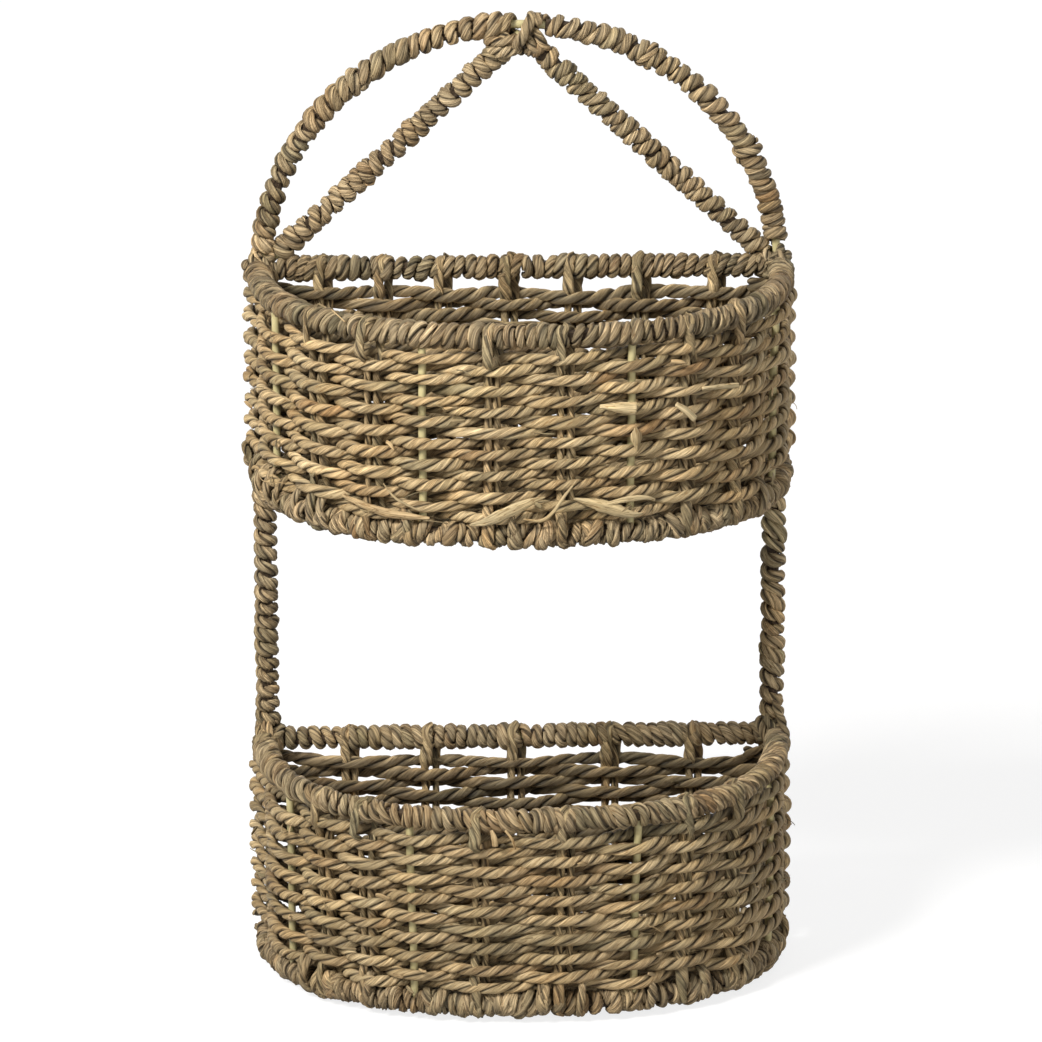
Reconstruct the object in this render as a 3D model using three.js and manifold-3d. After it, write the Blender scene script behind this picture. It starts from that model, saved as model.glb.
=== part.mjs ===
// A two-tier half-moon wall basket.
// A welded wire frame is whipped with seagrass cord. Each basket is woven with one long cord,
// which runs in and out round upright wires, doubled cords and the two posts of the frame.
// Millimetres, +Z up. The wall is on the +Y side and the baskets stand out towards -Y.
// The origin is under the middle of the whole piece, on the surface it can stand on.

import * as THREE from "three";
import { mergeVertices } from "three/addons/utils/BufferGeometryUtils.js";
import Module from "manifold-3d";

const wasm = await Module();
wasm.setup();

// Wire frame
const ringWidth = 277; // across a half-moon ring, between its wire's centres
const wireDiameter = 4.5;
const uprightDiameter = 4;
const cornerRadius = 8; // where a ring's bow turns into its back bar
const postTurn = THREE.MathUtils.degToRad(60); // where a post lies round a ring's corner
const archRise = 131; // from the upper rim's wire up to the crown's
const bowPowerShare = 2.43; // 2 makes the bow a half ellipse, and more makes it squarer
const bowSteps = 14;
const archSteps = 16;
const wireSides = 6;

// Heights and depths of the four rings, on their wires' centres
const upperRimHeight = 376;
const upperBaseHeight = 269;
const lowerRimHeight = 113;
const upperRimDepth = 142;
const upperBaseDepth = 138;
const lowerRimDepth = 138;
const lowerBaseDepth = 126;

// Seagrass cord
const wrapDiameter = 13.6; // over the whipping on a wire
const ridgeDepth = 1.4; // between the turns of the whipping
const turnPitch = 7.8; // from one turn of the whipping to the next
const windingCord = 4.2; // the cord wound round the posts between the baskets
const windingSteps = 8;
const weaverWidth = 4.7; // the weaving cord, corner to corner
const stakeWidth = 8.8; // a doubled cord, across both strands
const stakeThickness = 3.8;
const stakeWaist = 2.4; // between its two strands
const floorThickness = 4.5;
const clearance = 0.3; // between pieces that touch
const topGap = 3.5; // left open under a rim
const lashBack = 1.6; // how far the knots stand out behind the whipping

// Knots of cord over the joints of the frame
const cornerKnotRadius = 11;
const braceKnotRadius = 9;
const braceKnotReach = 15; // from the corner, up along the brace
const crownKnotRadius = 10.5;
const crownKnotSpread = 9;

// Where the stakes stand: shares of the bow's length from its left corner,
// and shares of half the ring's width along the back bar, from the right
const upperWireShares = [0.128, 0.374, 0.622, 0.884];
const upperFrontShares = [0.23, 0.311, 0.456, 0.544, 0.696, 0.772];
const upperBackShares = [0.755, 0.462, 0.202, -0.036, -0.288, -0.524, -0.751];
const lowerWireShares = [0.154, 0.355, 0.635, 0.898];
const lowerFrontShares = [0.231, 0.296, 0.441, 0.545, 0.702, 0.783];
const lowerBackShares = [0.684, 0.351, -0.017, -0.357, -0.669];
const upperRowPitch = 5.35;
const lowerRowPitch = 5.75;

// Sizes that follow from those above
const wireRadius = wireDiameter / 2;
const wrapRadius = wrapDiameter / 2;
const wrapFlat = wrapRadius * Math.cos(Math.PI / wireSides);
const boreRadius = wireRadius + clearance;
const halfWidth = ringWidth / 2;
const lowerBaseHeight = wrapFlat;
const nest = cornerRadius + wireDiameter + clearance;
const postX = halfWidth - cornerRadius + nest * Math.cos(postTurn);
const postY = nest * Math.sin(postTurn) - cornerRadius;
const wallY = postY + wrapRadius + clearance + lashBack;
const crownHeight = upperRimHeight + archRise;
const weaverRadius = weaverWidth / 2;

const metal = { metalness: 0.3, roughness: 0.5 };
const straw = { metalness: 0, roughness: 0.85 };
const finishes = {
  wire: new THREE.MeshStandardMaterial({ color: 0xb09a6c, ...metal }),
  wrap: new THREE.MeshStandardMaterial({ color: 0x9c8b66, ...straw }),
  weave: new THREE.MeshStandardMaterial({ color: 0xab9768, ...straw }),
  stake: new THREE.MeshStandardMaterial({ color: 0x8a7a55, ...straw }),
  knot: new THREE.MeshStandardMaterial({ color: 0x94835c, ...straw }),
  floor: new THREE.MeshStandardMaterial({ color: 0x85744e, ...straw }),
};

const assembly = new THREE.Group();
const up = new THREE.Vector3(0, 0, 1);
const toWall = new THREE.Vector3(0, 1, 0);

// Adds one named piece
function add(name, geometry, finish) {
  const mesh = new THREE.Mesh(geometry, finishes[finish]);
  mesh.name = name;
  assembly.add(mesh);
  return mesh;
}

// The solid of a geometry, for cutting and joining
function solidOf(geometry) {
  const bare = geometry.clone();
  bare.deleteAttribute("normal");
  bare.deleteAttribute("uv");
  const merged = mergeVertices(bare);
  const triVerts = new Uint32Array(merged.index.array);
  const vertProperties = merged.attributes.position.array;
  return new wasm.Manifold(new wasm.Mesh({ numProp: 3, vertProperties, triVerts }));
}

// The geometry of a solid's largest body
function geometryOf(solid) {
  const bodies = solid.decompose().sort((a, b) => b.volume() - a.volume());
  const { numProp, vertProperties, triVerts } = bodies[0].getMesh();
  return new THREE.BufferGeometry()
    .setAttribute("position", new THREE.BufferAttribute(vertProperties, numProp))
    .setIndex(new THREE.BufferAttribute(triVerts, 1));
}

// A route through given points, which a section is swept along with a ring at each
class Route extends THREE.Curve {
  constructor(points) {
    super();
    this.points = points;
  }
  getPointAt(share) {
    return this.points[Math.round(share * (this.points.length - 1))].clone();
  }
  getTangentAt(share) {
    const last = this.points.length - 1;
    const here = Math.round(share * last);
    const before = this.points[Math.max(here - 1, 0)];
    const middle = this.points[here];
    const after = this.points[Math.min(here + 1, last)];
    const tangent = new THREE.Vector3();
    if (here > 0) {
      tangent.add(middle.clone().sub(before).normalize());
    }
    if (here < last) {
      tangent.add(after.clone().sub(middle).normalize());
    }
    return tangent.normalize();
  }
}

// A regular section whose flats face along the first axis of the sweep
function polygon(radius, holeRadius = 0) {
  const corner = (size, side) => {
    const turn = ((side + 1 / 2) * 2 * Math.PI) / wireSides;
    return new THREE.Vector2(size * Math.cos(turn), size * Math.sin(turn));
  };
  const sides = [...Array(wireSides).keys()];
  const shape = new THREE.Shape(sides.map((side) => corner(radius, side)));
  if (holeRadius > 0) {
    shape.holes.push(new THREE.Path(sides.map((side) => corner(holeRadius, side))));
  }
  return shape;
}

// A wire, or with a hole the whipping round it, along a route
function tube(points, radius, holeRadius) {
  return new THREE.ExtrudeGeometry(polygon(radius, holeRadius), {
    steps: points.length - 1,
    extrudePath: new Route(points),
    bevelEnabled: false,
  });
}

// A closed skin over rings of points, each with as many points as the next.
// Inner rings, if any, make a bore that is open at both ends.
function loft(outer, inner = []) {
  const count = outer[0].length;
  const rings = [...outer, ...inner];
  const faces = [];
  const quad = (a, b, side, flip) => {
    const next = (side + 1) % count;
    const corners = [a * count + side, a * count + next, b * count + next, b * count + side];
    const order = flip ? [0, 2, 1, 0, 3, 2] : [0, 1, 2, 0, 2, 3];
    faces.push(...order.map((corner) => corners[corner]));
  };
  for (let side = 0; side < count; side++) {
    for (let ring = 0; ring + 1 < outer.length; ring++) {
      quad(ring, ring + 1, side, false);
    }
    for (let ring = outer.length; ring + 1 < rings.length; ring++) {
      quad(ring, ring + 1, side, true);
    }
    if (inner.length) {
      quad(0, outer.length, side, true);
      quad(outer.length - 1, rings.length - 1, side, false);
    }
  }
  if (!inner.length) {
    const last = (outer.length - 1) * count;
    for (let side = 1; side + 1 < count; side++) {
      faces.push(0, side + 1, side, last, last + side, last + side + 1);
    }
  }
  return new THREE.BufferGeometry().setFromPoints(rings.flat()).setIndex(faces);
}

// A ring of points round a place on a route, with its first axis given
function ringRound(middle, tangent, axis, sides, offset, radiusAt) {
  const first = axis.clone().addScaledVector(tangent, -axis.dot(tangent)).normalize();
  const second = tangent.clone().cross(first);
  return [...Array(sides).keys()].map((side) => {
    const turn = ((side + offset) * 2 * Math.PI) / sides;
    const radius = radiusAt(side);
    return middle
      .clone()
      .addScaledVector(first, radius * Math.cos(turn))
      .addScaledVector(second, radius * Math.sin(turn));
  });
}

// Rings along a route through points, square to it
function ringsAlong(points, axis, sides, offset, radiusAt) {
  const route = new Route(points);
  return points.map((point, index) => {
    const tangent = route.getTangentAt(index / (points.length - 1));
    return ringRound(point, tangent, axis, sides, offset, (side) => radiusAt(index, side));
  });
}

// A cord with a four-sided section, one corner up
function cord(points, radius) {
  return loft(ringsAlong(points, up, 4, 0, () => radius));
}

// Whipping as a sleeve with one raised helix, a turn of cord to each pitch.
// The core's points are those of the wire inside.
function sleeve(outerPoints, corePoints) {
  const ridge = (index, side) => {
    const phase = 2 * Math.PI * (index / 2 - side / wireSides);
    return wrapRadius - (ridgeDepth * (1 - Math.cos(phase))) / 2;
  };
  const outer = ringsAlong(outerPoints, toWall, wireSides, 1 / 2, ridge);
  const inner = ringsAlong(corePoints, toWall, wireSides, 1 / 2, () => boreRadius);
  return loft(outer, inner);
}

// How many rings a sleeve of a given length has: two to each turn
function ringCount(length) {
  return 2 * Math.max(Math.round(length / turnPitch), 1);
}

// The bow of a ring, from its left corner round the front to its right corner
class Bow extends THREE.Curve {
  constructor(depth) {
    super();
    this.depth = depth;
  }
  getPoint(share) {
    const power = 2 / bowPowerShare;
    const start = Math.asin((cornerRadius / this.depth) ** (1 / power));
    const turn = start + share * (Math.PI - 2 * start);
    const across = Math.cos(turn);
    const x = -Math.sign(across) * Math.abs(across) ** power * halfWidth;
    return new THREE.Vector3(x, -(Math.sin(turn) ** power) * this.depth, 0);
  }
}

// The outline of a ring from the seam in its back bar, round the left corner, the bow
// and the right corner, back to the seam
function ringPoints(depth, height) {
  const corner = (side, turn) =>
    new THREE.Vector3(
      side * (halfWidth - cornerRadius + cornerRadius * Math.cos(turn)),
      cornerRadius * (Math.sin(turn) - 1),
      0,
    );
  const turns = [1 / 2, 1 / 3, 1 / 6].map((share) => share * Math.PI);
  const points = [
    new THREE.Vector3(-clearance / 2, 0, 0),
    ...turns.map((turn) => corner(-1, turn)),
    ...new Bow(depth).getSpacedPoints(bowSteps),
    ...turns.toReversed().map((turn) => corner(1, turn)),
    new THREE.Vector3(clearance / 2, 0, 0),
  ];
  return points.map((point) => point.setZ(height));
}

// Two baskets
const baskets = {
  upper: {
    rim: { height: upperRimHeight, depth: upperRimDepth },
    base: { height: upperBaseHeight, depth: upperBaseDepth },
    wireShares: upperWireShares,
    frontShares: upperFrontShares,
    backShares: upperBackShares,
    pitch: upperRowPitch,
  },
  lower: {
    rim: { height: lowerRimHeight, depth: lowerRimDepth },
    base: { height: lowerBaseHeight, depth: lowerBaseDepth },
    wireShares: lowerWireShares,
    frontShares: lowerFrontShares,
    backShares: lowerBackShares,
    pitch: lowerRowPitch,
  },
};

// Where a stake on the bow stands: its feet on both rings, and its outward direction
function bowStake(basket, share) {
  const rimBow = new Bow(basket.rim.depth);
  const tangent = rimBow.getTangentAt(share);
  return {
    foot: new Bow(basket.base.depth).getPointAt(share).setZ(basket.base.height),
    head: rimBow.getPointAt(share).setZ(basket.rim.height),
    out: new THREE.Vector3(tangent.y, -tangent.x, 0),
  };
}

// Where a stake on the back bar stands
function barStake(basket, share) {
  return {
    foot: new THREE.Vector3(share * halfWidth, 0, basket.base.height),
    head: new THREE.Vector3(share * halfWidth, 0, basket.rim.height),
    out: toWall,
  };
}

// The place on a stake at a height
function placeOn(stake, height) {
  const share = (height - stake.foot.z) / (stake.head.z - stake.foot.z);
  return stake.foot.clone().lerp(stake.head, share);
}

// An upright wire between the wires of the two rings
function uprightGeometry(stake, radius) {
  const low = placeOn(stake, stake.foot.z + wireRadius + clearance);
  const high = placeOn(stake, stake.head.z - wireRadius - clearance);
  return tube([low, high], radius);
}

// A doubled cord between the whipping of the two rings
function addStake(name, stake) {
  const low = placeOn(stake, stake.foot.z + wrapFlat + clearance);
  const high = placeOn(stake, stake.head.z - wrapFlat - clearance);
  const half = stakeThickness / 2;
  const strand = stakeWidth / 4;
  const section = new THREE.Shape([
    new THREE.Vector2(2 * strand, 0),
    new THREE.Vector2(strand, half),
    new THREE.Vector2(0, stakeWaist / 2),
    new THREE.Vector2(-strand, half),
    new THREE.Vector2(-2 * strand, 0),
    new THREE.Vector2(-strand, -half),
    new THREE.Vector2(0, -stakeWaist / 2),
    new THREE.Vector2(strand, -half),
  ]);
  const depth = low.distanceTo(high);
  const mesh = add(name, new THREE.ExtrudeGeometry(section, { depth, bevelEnabled: false }), "stake");
  const axis = high.clone().sub(low).normalize();
  const across = axis.clone().cross(stake.out).normalize();
  const frame = new THREE.Matrix4().makeBasis(across, axis.clone().cross(across), axis);
  mesh.quaternion.setFromRotationMatrix(frame);
  mesh.position.copy(low);
}

// How far the weaving cord stands off the line of the stakes as it passes one.
// It slants between stakes, so it is moved out until it clears a stake's shoulders too.
function weaveReach(spacing) {
  const flush = stakeThickness / 2 + clearance + weaverRadius;
  const slope = (2 * flush) / spacing;
  return flush * Math.hypot(1, slope) + (slope * stakeWidth) / 3;
}

// The weaving cord of a basket: a rising spiral that passes each stake on the other side
// from the turn below, because there is an odd number of them
function weaverPoints(basket) {
  const front = [...basket.wireShares, ...basket.frontShares].sort((a, b) => a - b);
  const stakes = [
    { post: -1 },
    ...front.map((share) => bowStake(basket, share)),
    { post: 1 },
    ...basket.backShares.map((share) => barStake(basket, share)),
  ];
  const start = basket.base.height + wrapFlat + clearance + weaverRadius;
  const end = basket.rim.height - wrapFlat - topGap - weaverRadius;
  const turns = Math.floor((end - start) / basket.pitch);
  const standing = stakes.filter((stake) => stake.foot);
  const spacings = standing.slice(1).map((stake, index) => stake.foot.distanceTo(standing[index].foot));
  const reach = weaveReach(Math.min(...spacings));
  const postReach = (wireRadius + clearance + weaverRadius) / Math.cos(Math.PI / wireSides);
  const points = [];
  for (let pass = 0; pass <= turns * stakes.length; pass++) {
    const stake = stakes[pass % stakes.length];
    const height = start + (basket.pitch * pass) / stakes.length;
    const outside = pass % 2 === 0;
    if (!stake.post) {
      const offset = outside ? reach : -reach;
      points.push(placeOn(stake, height).addScaledVector(stake.out, offset));
      continue;
    }
    const middle = new THREE.Vector3(stake.post * postX, postY, height);
    const facing = stake.post > 0 ? postTurn : Math.PI - postTurn;
    const turned = outside ? [-1, 0, 1] : [0];
    for (const step of turned) {
      const turn = facing + (step * Math.PI) / 3;
      const side = outside ? postReach : -postReach;
      points.push(
        middle.clone().add(new THREE.Vector3(side * Math.cos(turn), side * Math.sin(turn), 0)),
      );
    }
  }
  return points;
}

// Least gap between a cord and its next turns, on points along it
function leastGap(points, thickness, apart) {
  const samples = [];
  for (let index = 0; index + 1 < points.length; index++) {
    for (const share of [0, 1 / 3, 2 / 3]) {
      samples.push(points[index].clone().lerp(points[index + 1], share));
    }
  }
  let least = Infinity;
  let travelled = 0;
  const lengths = samples.map((sample, index) => {
    travelled += index ? sample.distanceTo(samples[index - 1]) : 0;
    return travelled;
  });
  for (let a = 0; a < samples.length; a++) {
    for (let b = a + 1; b < samples.length; b++) {
      const between = lengths[b] - lengths[a];
      if (between > 2 * apart) {
        break;
      }
      if (between >= apart / 2) {
        least = Math.min(least, samples[a].distanceTo(samples[b]));
      }
    }
  }
  return least - thickness;
}

// Hanger: one wire bent into two posts and an arch
const archPoints = [...Array(archSteps + 1).keys()].map((step) => {
  const turn = Math.PI * (1 - step / archSteps);
  const height = upperRimHeight + archRise * Math.sin(turn);
  return new THREE.Vector3(postX * Math.cos(turn), postY, height);
});
const postFoot = lowerBaseHeight - wireRadius;
const hangerPoints = [
  new THREE.Vector3(-postX, postY, postFoot),
  ...archPoints,
  new THREE.Vector3(postX, postY, postFoot),
];
add("hanger_wire", tube(hangerPoints, wireRadius), "wire");

// Brace: one wire bent into a V, from both corners of the upper rim to under the crown
const braceTop = new THREE.Vector3(0, postY, crownHeight - wireDiameter - clearance);
const cornerMiddle = (side) => new THREE.Vector3(side * postX, postY, upperRimHeight);
const braceAlong = (side) => braceTop.clone().sub(cornerMiddle(side)).normalize();
const braceSlope = Math.abs(braceAlong(1).x);
const braceStart = (wireRadius + 2 * clearance + wireRadius * braceAlong(1).z) / braceSlope;
const braceFoot = (side) => cornerMiddle(side).addScaledVector(braceAlong(side), braceStart);
const bracePoints = [braceFoot(-1), braceTop, braceFoot(1)];
add("brace_wire", tube(bracePoints, wireRadius), "wire");

// Everything that the whipping and the knots are cut round, a clearance larger
const fatHanger = solidOf(tube(hangerPoints, boreRadius));
const fatBrace = solidOf(tube(bracePoints, boreRadius));

// Rings, their whipping, and the upright wires between them
const fatWraps = {};
for (const [tier, basket] of Object.entries(baskets)) {
  const wires = basket.wireShares.map((share) => bowStake(basket, share));
  wires.forEach((stake, index) => {
    const geometry = uprightGeometry(stake, uprightDiameter / 2);
    add(`${tier}_upright_wire_${index + 1}`, geometry, "wire");
  });
  const fatUprights = wires.map((stake) => uprightGeometry(stake, uprightDiameter / 2 + clearance));
  for (const level of ["rim", "base"]) {
    const { depth, height } = basket[level];
    const points = ringPoints(depth, height);
    add(`${tier}_${level}_wire`, tube(points, wireRadius), "wire");
    let wrap = solidOf(tube(points, wrapRadius, boreRadius)).subtract(fatHanger).subtract(fatBrace);
    for (const upright of fatUprights) {
      wrap = wrap.subtract(solidOf(upright));
    }
    add(`${tier}_${level}_wrap`, geometryOf(wrap), "wrap");
    fatWraps[`${tier}_${level}`] = solidOf(tube(points, wrapRadius + clearance));
  }
}

// Whipping on the arch, from just above one corner of the upper rim to the other
const firstRise = archPoints[1].z - archPoints[0].z;
function archRoute(rise) {
  return [
    archPoints[0].clone().lerp(archPoints[1], rise / firstRise),
    ...archPoints.slice(1, -1),
    archPoints[archSteps].clone().lerp(archPoints[archSteps - 1], rise / firstRise),
  ];
}
const archCore = archRoute(wrapRadius + clearance);
const archCurve = new THREE.CatmullRomCurve3(archCore);
const archRings = ringCount(archCurve.getLength());
const archSleeve = solidOf(sleeve(archCurve.getSpacedPoints(archRings), archCore));
add("arch_wrap", geometryOf(archSleeve.subtract(fatBrace)), "wrap");
const fatArch = solidOf(tube(archRoute(wrapRadius), wrapRadius + 2 * clearance));

// Whipping on the two legs of the brace, clear of the whipping on the arch
const wrapsPart = (wrapRadius * (1 + braceSlope)) / braceAlong(1).z + 2 * clearance;
const fatBraceWraps = [-1, 1].map((side) => {
  const along = braceAlong(side);
  const low = cornerMiddle(side).addScaledVector(along, wrapsPart);
  const high = braceTop.clone().addScaledVector(along, -wrapsPart);
  const rings = ringCount(low.distanceTo(high));
  const points = [...Array(rings + 1).keys()].map((step) => low.clone().lerp(high, step / rings));
  const name = side < 0 ? "left_brace_wrap" : "right_brace_wrap";
  add(name, sleeve(points, [low, high]), "wrap");
  return solidOf(tube([low, high], wrapRadius + clearance));
});

// Cord wound round each post between the baskets
const windingRadius = (boreRadius + windingCord / 2) / Math.cos(Math.PI / windingSteps);
const windingRoom = upperBaseHeight - lowerRimHeight - 2 * cornerKnotRadius;
const windingLoops = Math.round(windingRoom / turnPitch);
const windingLength = windingLoops * turnPitch;
const windingMiddle = (upperBaseHeight + lowerRimHeight) / 2;
const windingPoints = [...Array(windingLoops * windingSteps + 1).keys()].map((step) => {
  const turn = ((step + 1 / 2) * 2 * Math.PI) / windingSteps;
  const height = windingLength * (step / (windingLoops * windingSteps) - 1 / 2);
  return new THREE.Vector3(
    windingRadius * Math.sin(turn),
    windingRadius * Math.cos(turn),
    height,
  );
});
for (const side of [-1, 1]) {
  const name = side < 0 ? "left_post_winding" : "right_post_winding";
  const winding = add(name, cord(windingPoints, windingCord / 2), "wrap");
  winding.position.set(side * postX, postY, windingMiddle);
}
const windingTurn = 2 * Math.PI * windingRadius;
console.log("winding: least gap", leastGap(windingPoints, windingCord, windingTurn).toFixed(2));

// Doubled cords, weaving cord and floor of each basket
for (const [tier, basket] of Object.entries(baskets)) {
  basket.frontShares.forEach((share, index) => {
    addStake(`${tier}_front_stake_${index + 1}`, bowStake(basket, share));
  });
  basket.backShares.forEach((share, index) => {
    addStake(`${tier}_back_stake_${index + 1}`, barStake(basket, share));
  });
  const points = weaverPoints(basket);
  add(`${tier}_weaver`, cord(points, weaverRadius), "weave");
  const around = new Bow(basket.rim.depth).getLength() + ringWidth;
  console.log(`${tier} weaver: least gap`, leastGap(points, weaverWidth, around).toFixed(2));

  const edge = ringPoints(basket.base.depth, 0);
  const route = new Route(edge);
  const inset = edge.map((point, index) => {
    const tangent = route.getTangentAt(index / (edge.length - 1));
    const reach = wrapRadius + clearance;
    return new THREE.Vector2(point.x - reach * tangent.y, point.y + reach * tangent.x);
  });
  const plate = new THREE.ExtrudeGeometry(new THREE.Shape(inset), {
    depth: floorThickness,
    bevelEnabled: false,
  });
  add(`${tier}_floor`, plate, "floor").position.z = basket.base.height - floorThickness / 2;
}

// A rounded lump of lashing, joined from balls and cut round what it ties
function knot(balls, cutters) {
  const solids = balls.map(([middle, radius]) => {
    const ball = new THREE.IcosahedronGeometry(radius, 1);
    return solidOf(ball.translate(middle.x, middle.y, middle.z));
  });
  const lump = solids.reduce((joined, ball) => joined.add(ball));
  return geometryOf(cutters.reduce((left, cutter) => left.subtract(cutter), lump));
}

// A block that cuts away everything beyond a plane, given by its outward direction
const blockSize = 3 * crownHeight;
function beyond(direction, distance) {
  const block = new THREE.BoxGeometry(blockSize, blockSize, blockSize);
  const away = direction.clone().multiplyScalar(distance + blockSize / 2);
  return solidOf(block.translate(away.x, away.y, away.z));
}

const behindWall = beyond(toWall, wallY);
const underGround = beyond(up.clone().negate(), 0);
const windings = [-1, 1].map((side) =>
  solidOf(
    tube(
      [-1, 1].map((end) => {
        const reach = windingLength / 2 + windingCord / 2 + clearance;
        return new THREE.Vector3(side * postX, postY, windingMiddle + end * reach);
      }),
      wrapDiameter,
    ),
  ),
);

// Knots at the four corners on each side
[-1, 1].forEach((side, index) => {
  const hand = side < 0 ? "left" : "right";
  const at = (height) => new THREE.Vector3(side * postX, postY, height);
  const shoulder = knot(
    [
      [at(upperRimHeight), cornerKnotRadius],
      [cornerMiddle(side).addScaledVector(braceAlong(side), braceKnotReach), braceKnotRadius],
    ],
    [
      behindWall,
      fatHanger,
      fatBrace,
      fatArch,
      fatBraceWraps[index],
      fatWraps.upper_rim,
      beyond(up.clone().negate(), wrapFlat - upperRimHeight),
    ],
  );
  add(`${hand}_shoulder_lashing`, shoulder, "knot");
  const corners = {
    upper_base: [upperBaseHeight, beyond(up, upperBaseHeight + wrapFlat)],
    lower_rim: [lowerRimHeight, beyond(up.clone().negate(), wrapFlat - lowerRimHeight)],
    lower_base: [lowerBaseHeight, beyond(up, lowerBaseHeight + wrapFlat)],
  };
  for (const [level, [height, wallSide]] of Object.entries(corners)) {
    const cutters = [behindWall, underGround, fatHanger, fatWraps[level], windings[index], wallSide];
    add(`${hand}_${level}_lashing`, knot([[at(height), cornerKnotRadius]], cutters), "knot");
  }
});

// Knot at the crown, where the brace meets the arch
const crownBalls = [-1, 1].map((side) => [
  new THREE.Vector3(side * crownKnotSpread, postY, crownHeight - wireDiameter),
  crownKnotRadius,
]);
const crownCutters = [behindWall, fatHanger, fatBrace, fatArch, ...fatBraceWraps];
add("crown_lashing", knot(crownBalls, crownCutters), "knot");

// The origin goes under the middle of the whole piece
const extent = new THREE.Box3().setFromObject(assembly, true);
assembly.position.y = -(extent.min.y + extent.max.y) / 2;
assembly.position.x = -(extent.min.x + extent.max.x) / 2;
assembly.position.z = -extent.min.z;

const wallBasket = new THREE.Group();
wallBasket.add(assembly);

export default wallBasket;
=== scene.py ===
# A two-tier half-moon wall basket of twisted seagrass cord on a painted wire frame.
# The cords are built as pairs of plies that turn about each other, as in the real thing.
# Lengths are in millimetres until a mesh is written, which is in metres.

import math

import bpy
import numpy as np
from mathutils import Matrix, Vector


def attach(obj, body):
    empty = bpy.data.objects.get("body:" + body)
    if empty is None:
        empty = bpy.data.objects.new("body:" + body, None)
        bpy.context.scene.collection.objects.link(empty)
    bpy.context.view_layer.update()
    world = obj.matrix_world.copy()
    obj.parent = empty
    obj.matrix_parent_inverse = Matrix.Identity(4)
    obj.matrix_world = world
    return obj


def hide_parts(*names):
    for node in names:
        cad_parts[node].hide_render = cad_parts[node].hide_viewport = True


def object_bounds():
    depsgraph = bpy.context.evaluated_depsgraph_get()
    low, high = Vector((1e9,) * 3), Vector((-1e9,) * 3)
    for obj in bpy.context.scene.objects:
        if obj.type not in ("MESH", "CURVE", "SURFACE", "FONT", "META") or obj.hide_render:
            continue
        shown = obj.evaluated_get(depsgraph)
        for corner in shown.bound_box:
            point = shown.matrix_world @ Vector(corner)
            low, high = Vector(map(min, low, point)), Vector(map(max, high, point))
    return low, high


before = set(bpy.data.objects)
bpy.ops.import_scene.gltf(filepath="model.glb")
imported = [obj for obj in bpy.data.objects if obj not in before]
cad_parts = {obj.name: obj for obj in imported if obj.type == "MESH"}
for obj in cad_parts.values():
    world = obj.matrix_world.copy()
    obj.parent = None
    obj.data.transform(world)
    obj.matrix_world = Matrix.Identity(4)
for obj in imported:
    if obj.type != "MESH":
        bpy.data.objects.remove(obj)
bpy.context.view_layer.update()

MM = 0.001
TAU = 2 * math.pi
WIRE = 2.25  # radius of the frame's wire
UPRIGHT = 2.05  # radius of an upright wire
WHIPPED = 6.8  # radius over the whipping
UNDER_WHIPPING = 3.3  # radius of the core of leaf under the whipping, which closes the gaps between its turns; its dark colour is painted shade in those gaps
CORNER = 8.0  # radius of a ring's corner
BOW_POWER = 2 / 2.43  # squareness of a ring's bow
END_DEPTH = 1.5  # how much of an upright piece counts as its end
UP = np.array([0.0, 0.0, 1.0])
FRONT = np.array([0.0, -1.0, 0.0])
TIERS = ("upper", "lower")
SIDES = ((-1, "left"), (1, "right"))


# Places taken from the frame

def node_points(name):
    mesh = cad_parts[name].data
    flat = np.zeros(len(mesh.vertices) * 3)
    mesh.vertices.foreach_get("co", flat)
    return flat.reshape(-1, 3) / MM


def extent(name):
    points = node_points(name)
    return points.min(axis=0), points.max(axis=0)


def ends_of(name):
    """Middle of the lowest and of the highest points of an upright piece."""
    points = node_points(name)
    low, high = points[:, 2].min(), points[:, 2].max()
    foot = points[points[:, 2] < low + END_DEPTH].mean(axis=0)
    head = points[points[:, 2] > high - END_DEPTH].mean(axis=0)
    return foot, head


def named(start):
    """The frame's nodes whose names start so, in order."""
    return sorted(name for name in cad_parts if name.startswith(start))


def ring_facts(name):
    low, high = extent(name)
    bar = extent("upper_rim_wire")[1][1] - WIRE
    return {
        "half": (high[0] - low[0]) / 2 - WIRE,
        "bar": bar,
        "depth": bar - low[1] - WIRE,
        "height": (low[2] + high[2]) / 2,
    }


rings = {
    (tier, level): ring_facts(f"{tier}_{level}_wire")
    for tier in TIERS
    for level in ("rim", "base")
}
BAR = rings["upper", "rim"]["bar"]
post_low, post_high = extent("right_post_winding")
POST_X = (post_low[0] + post_high[0]) / 2
POST_Y = (post_low[1] + post_high[1]) / 2
HANGER_FOOT = extent("hanger_wire")[0][2]
CROWN = extent("hanger_wire")[1][2] - WIRE
SHOULDER = rings["upper", "rim"]["height"]
BRACE_TOP = np.array([0, POST_Y, CROWN - 4.8])


# Curves and smooth chance variation

def drift(rng, travelled, length, columns=None):
    """Smooth noise within about one either way, with a new value every so far along."""
    span = travelled[-1] - travelled[0]
    count = int(span / length) + 4
    shape = (count,) if columns is None else (count, columns)
    values = rng.uniform(-1, 1, shape)
    place = (travelled - travelled[0]) / length
    first = np.floor(place).astype(int)
    part = place - first
    part = part * part * (3 - 2 * part)
    if columns is not None:
        part = part[:, None]
    return values[first] * (1 - part) + values[first + 1] * part


def varied(rng, travelled, change, share=1.0, columns=None):
    """Noise about 1, by a share of a change's amount and over the change's length."""
    amount, length = change
    return 1 + amount * share * drift(rng, travelled, length, columns)


def unit(vectors):
    return vectors / np.maximum(np.linalg.norm(vectors, axis=-1, keepdims=True), 1e-9)


def facing(direction, path):
    return np.tile(direction, (len(path), 1))


def lengths_along(points):
    steps = np.linalg.norm(np.diff(points, axis=0), axis=1)
    return np.concatenate([[0.0], np.cumsum(steps)])


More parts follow.
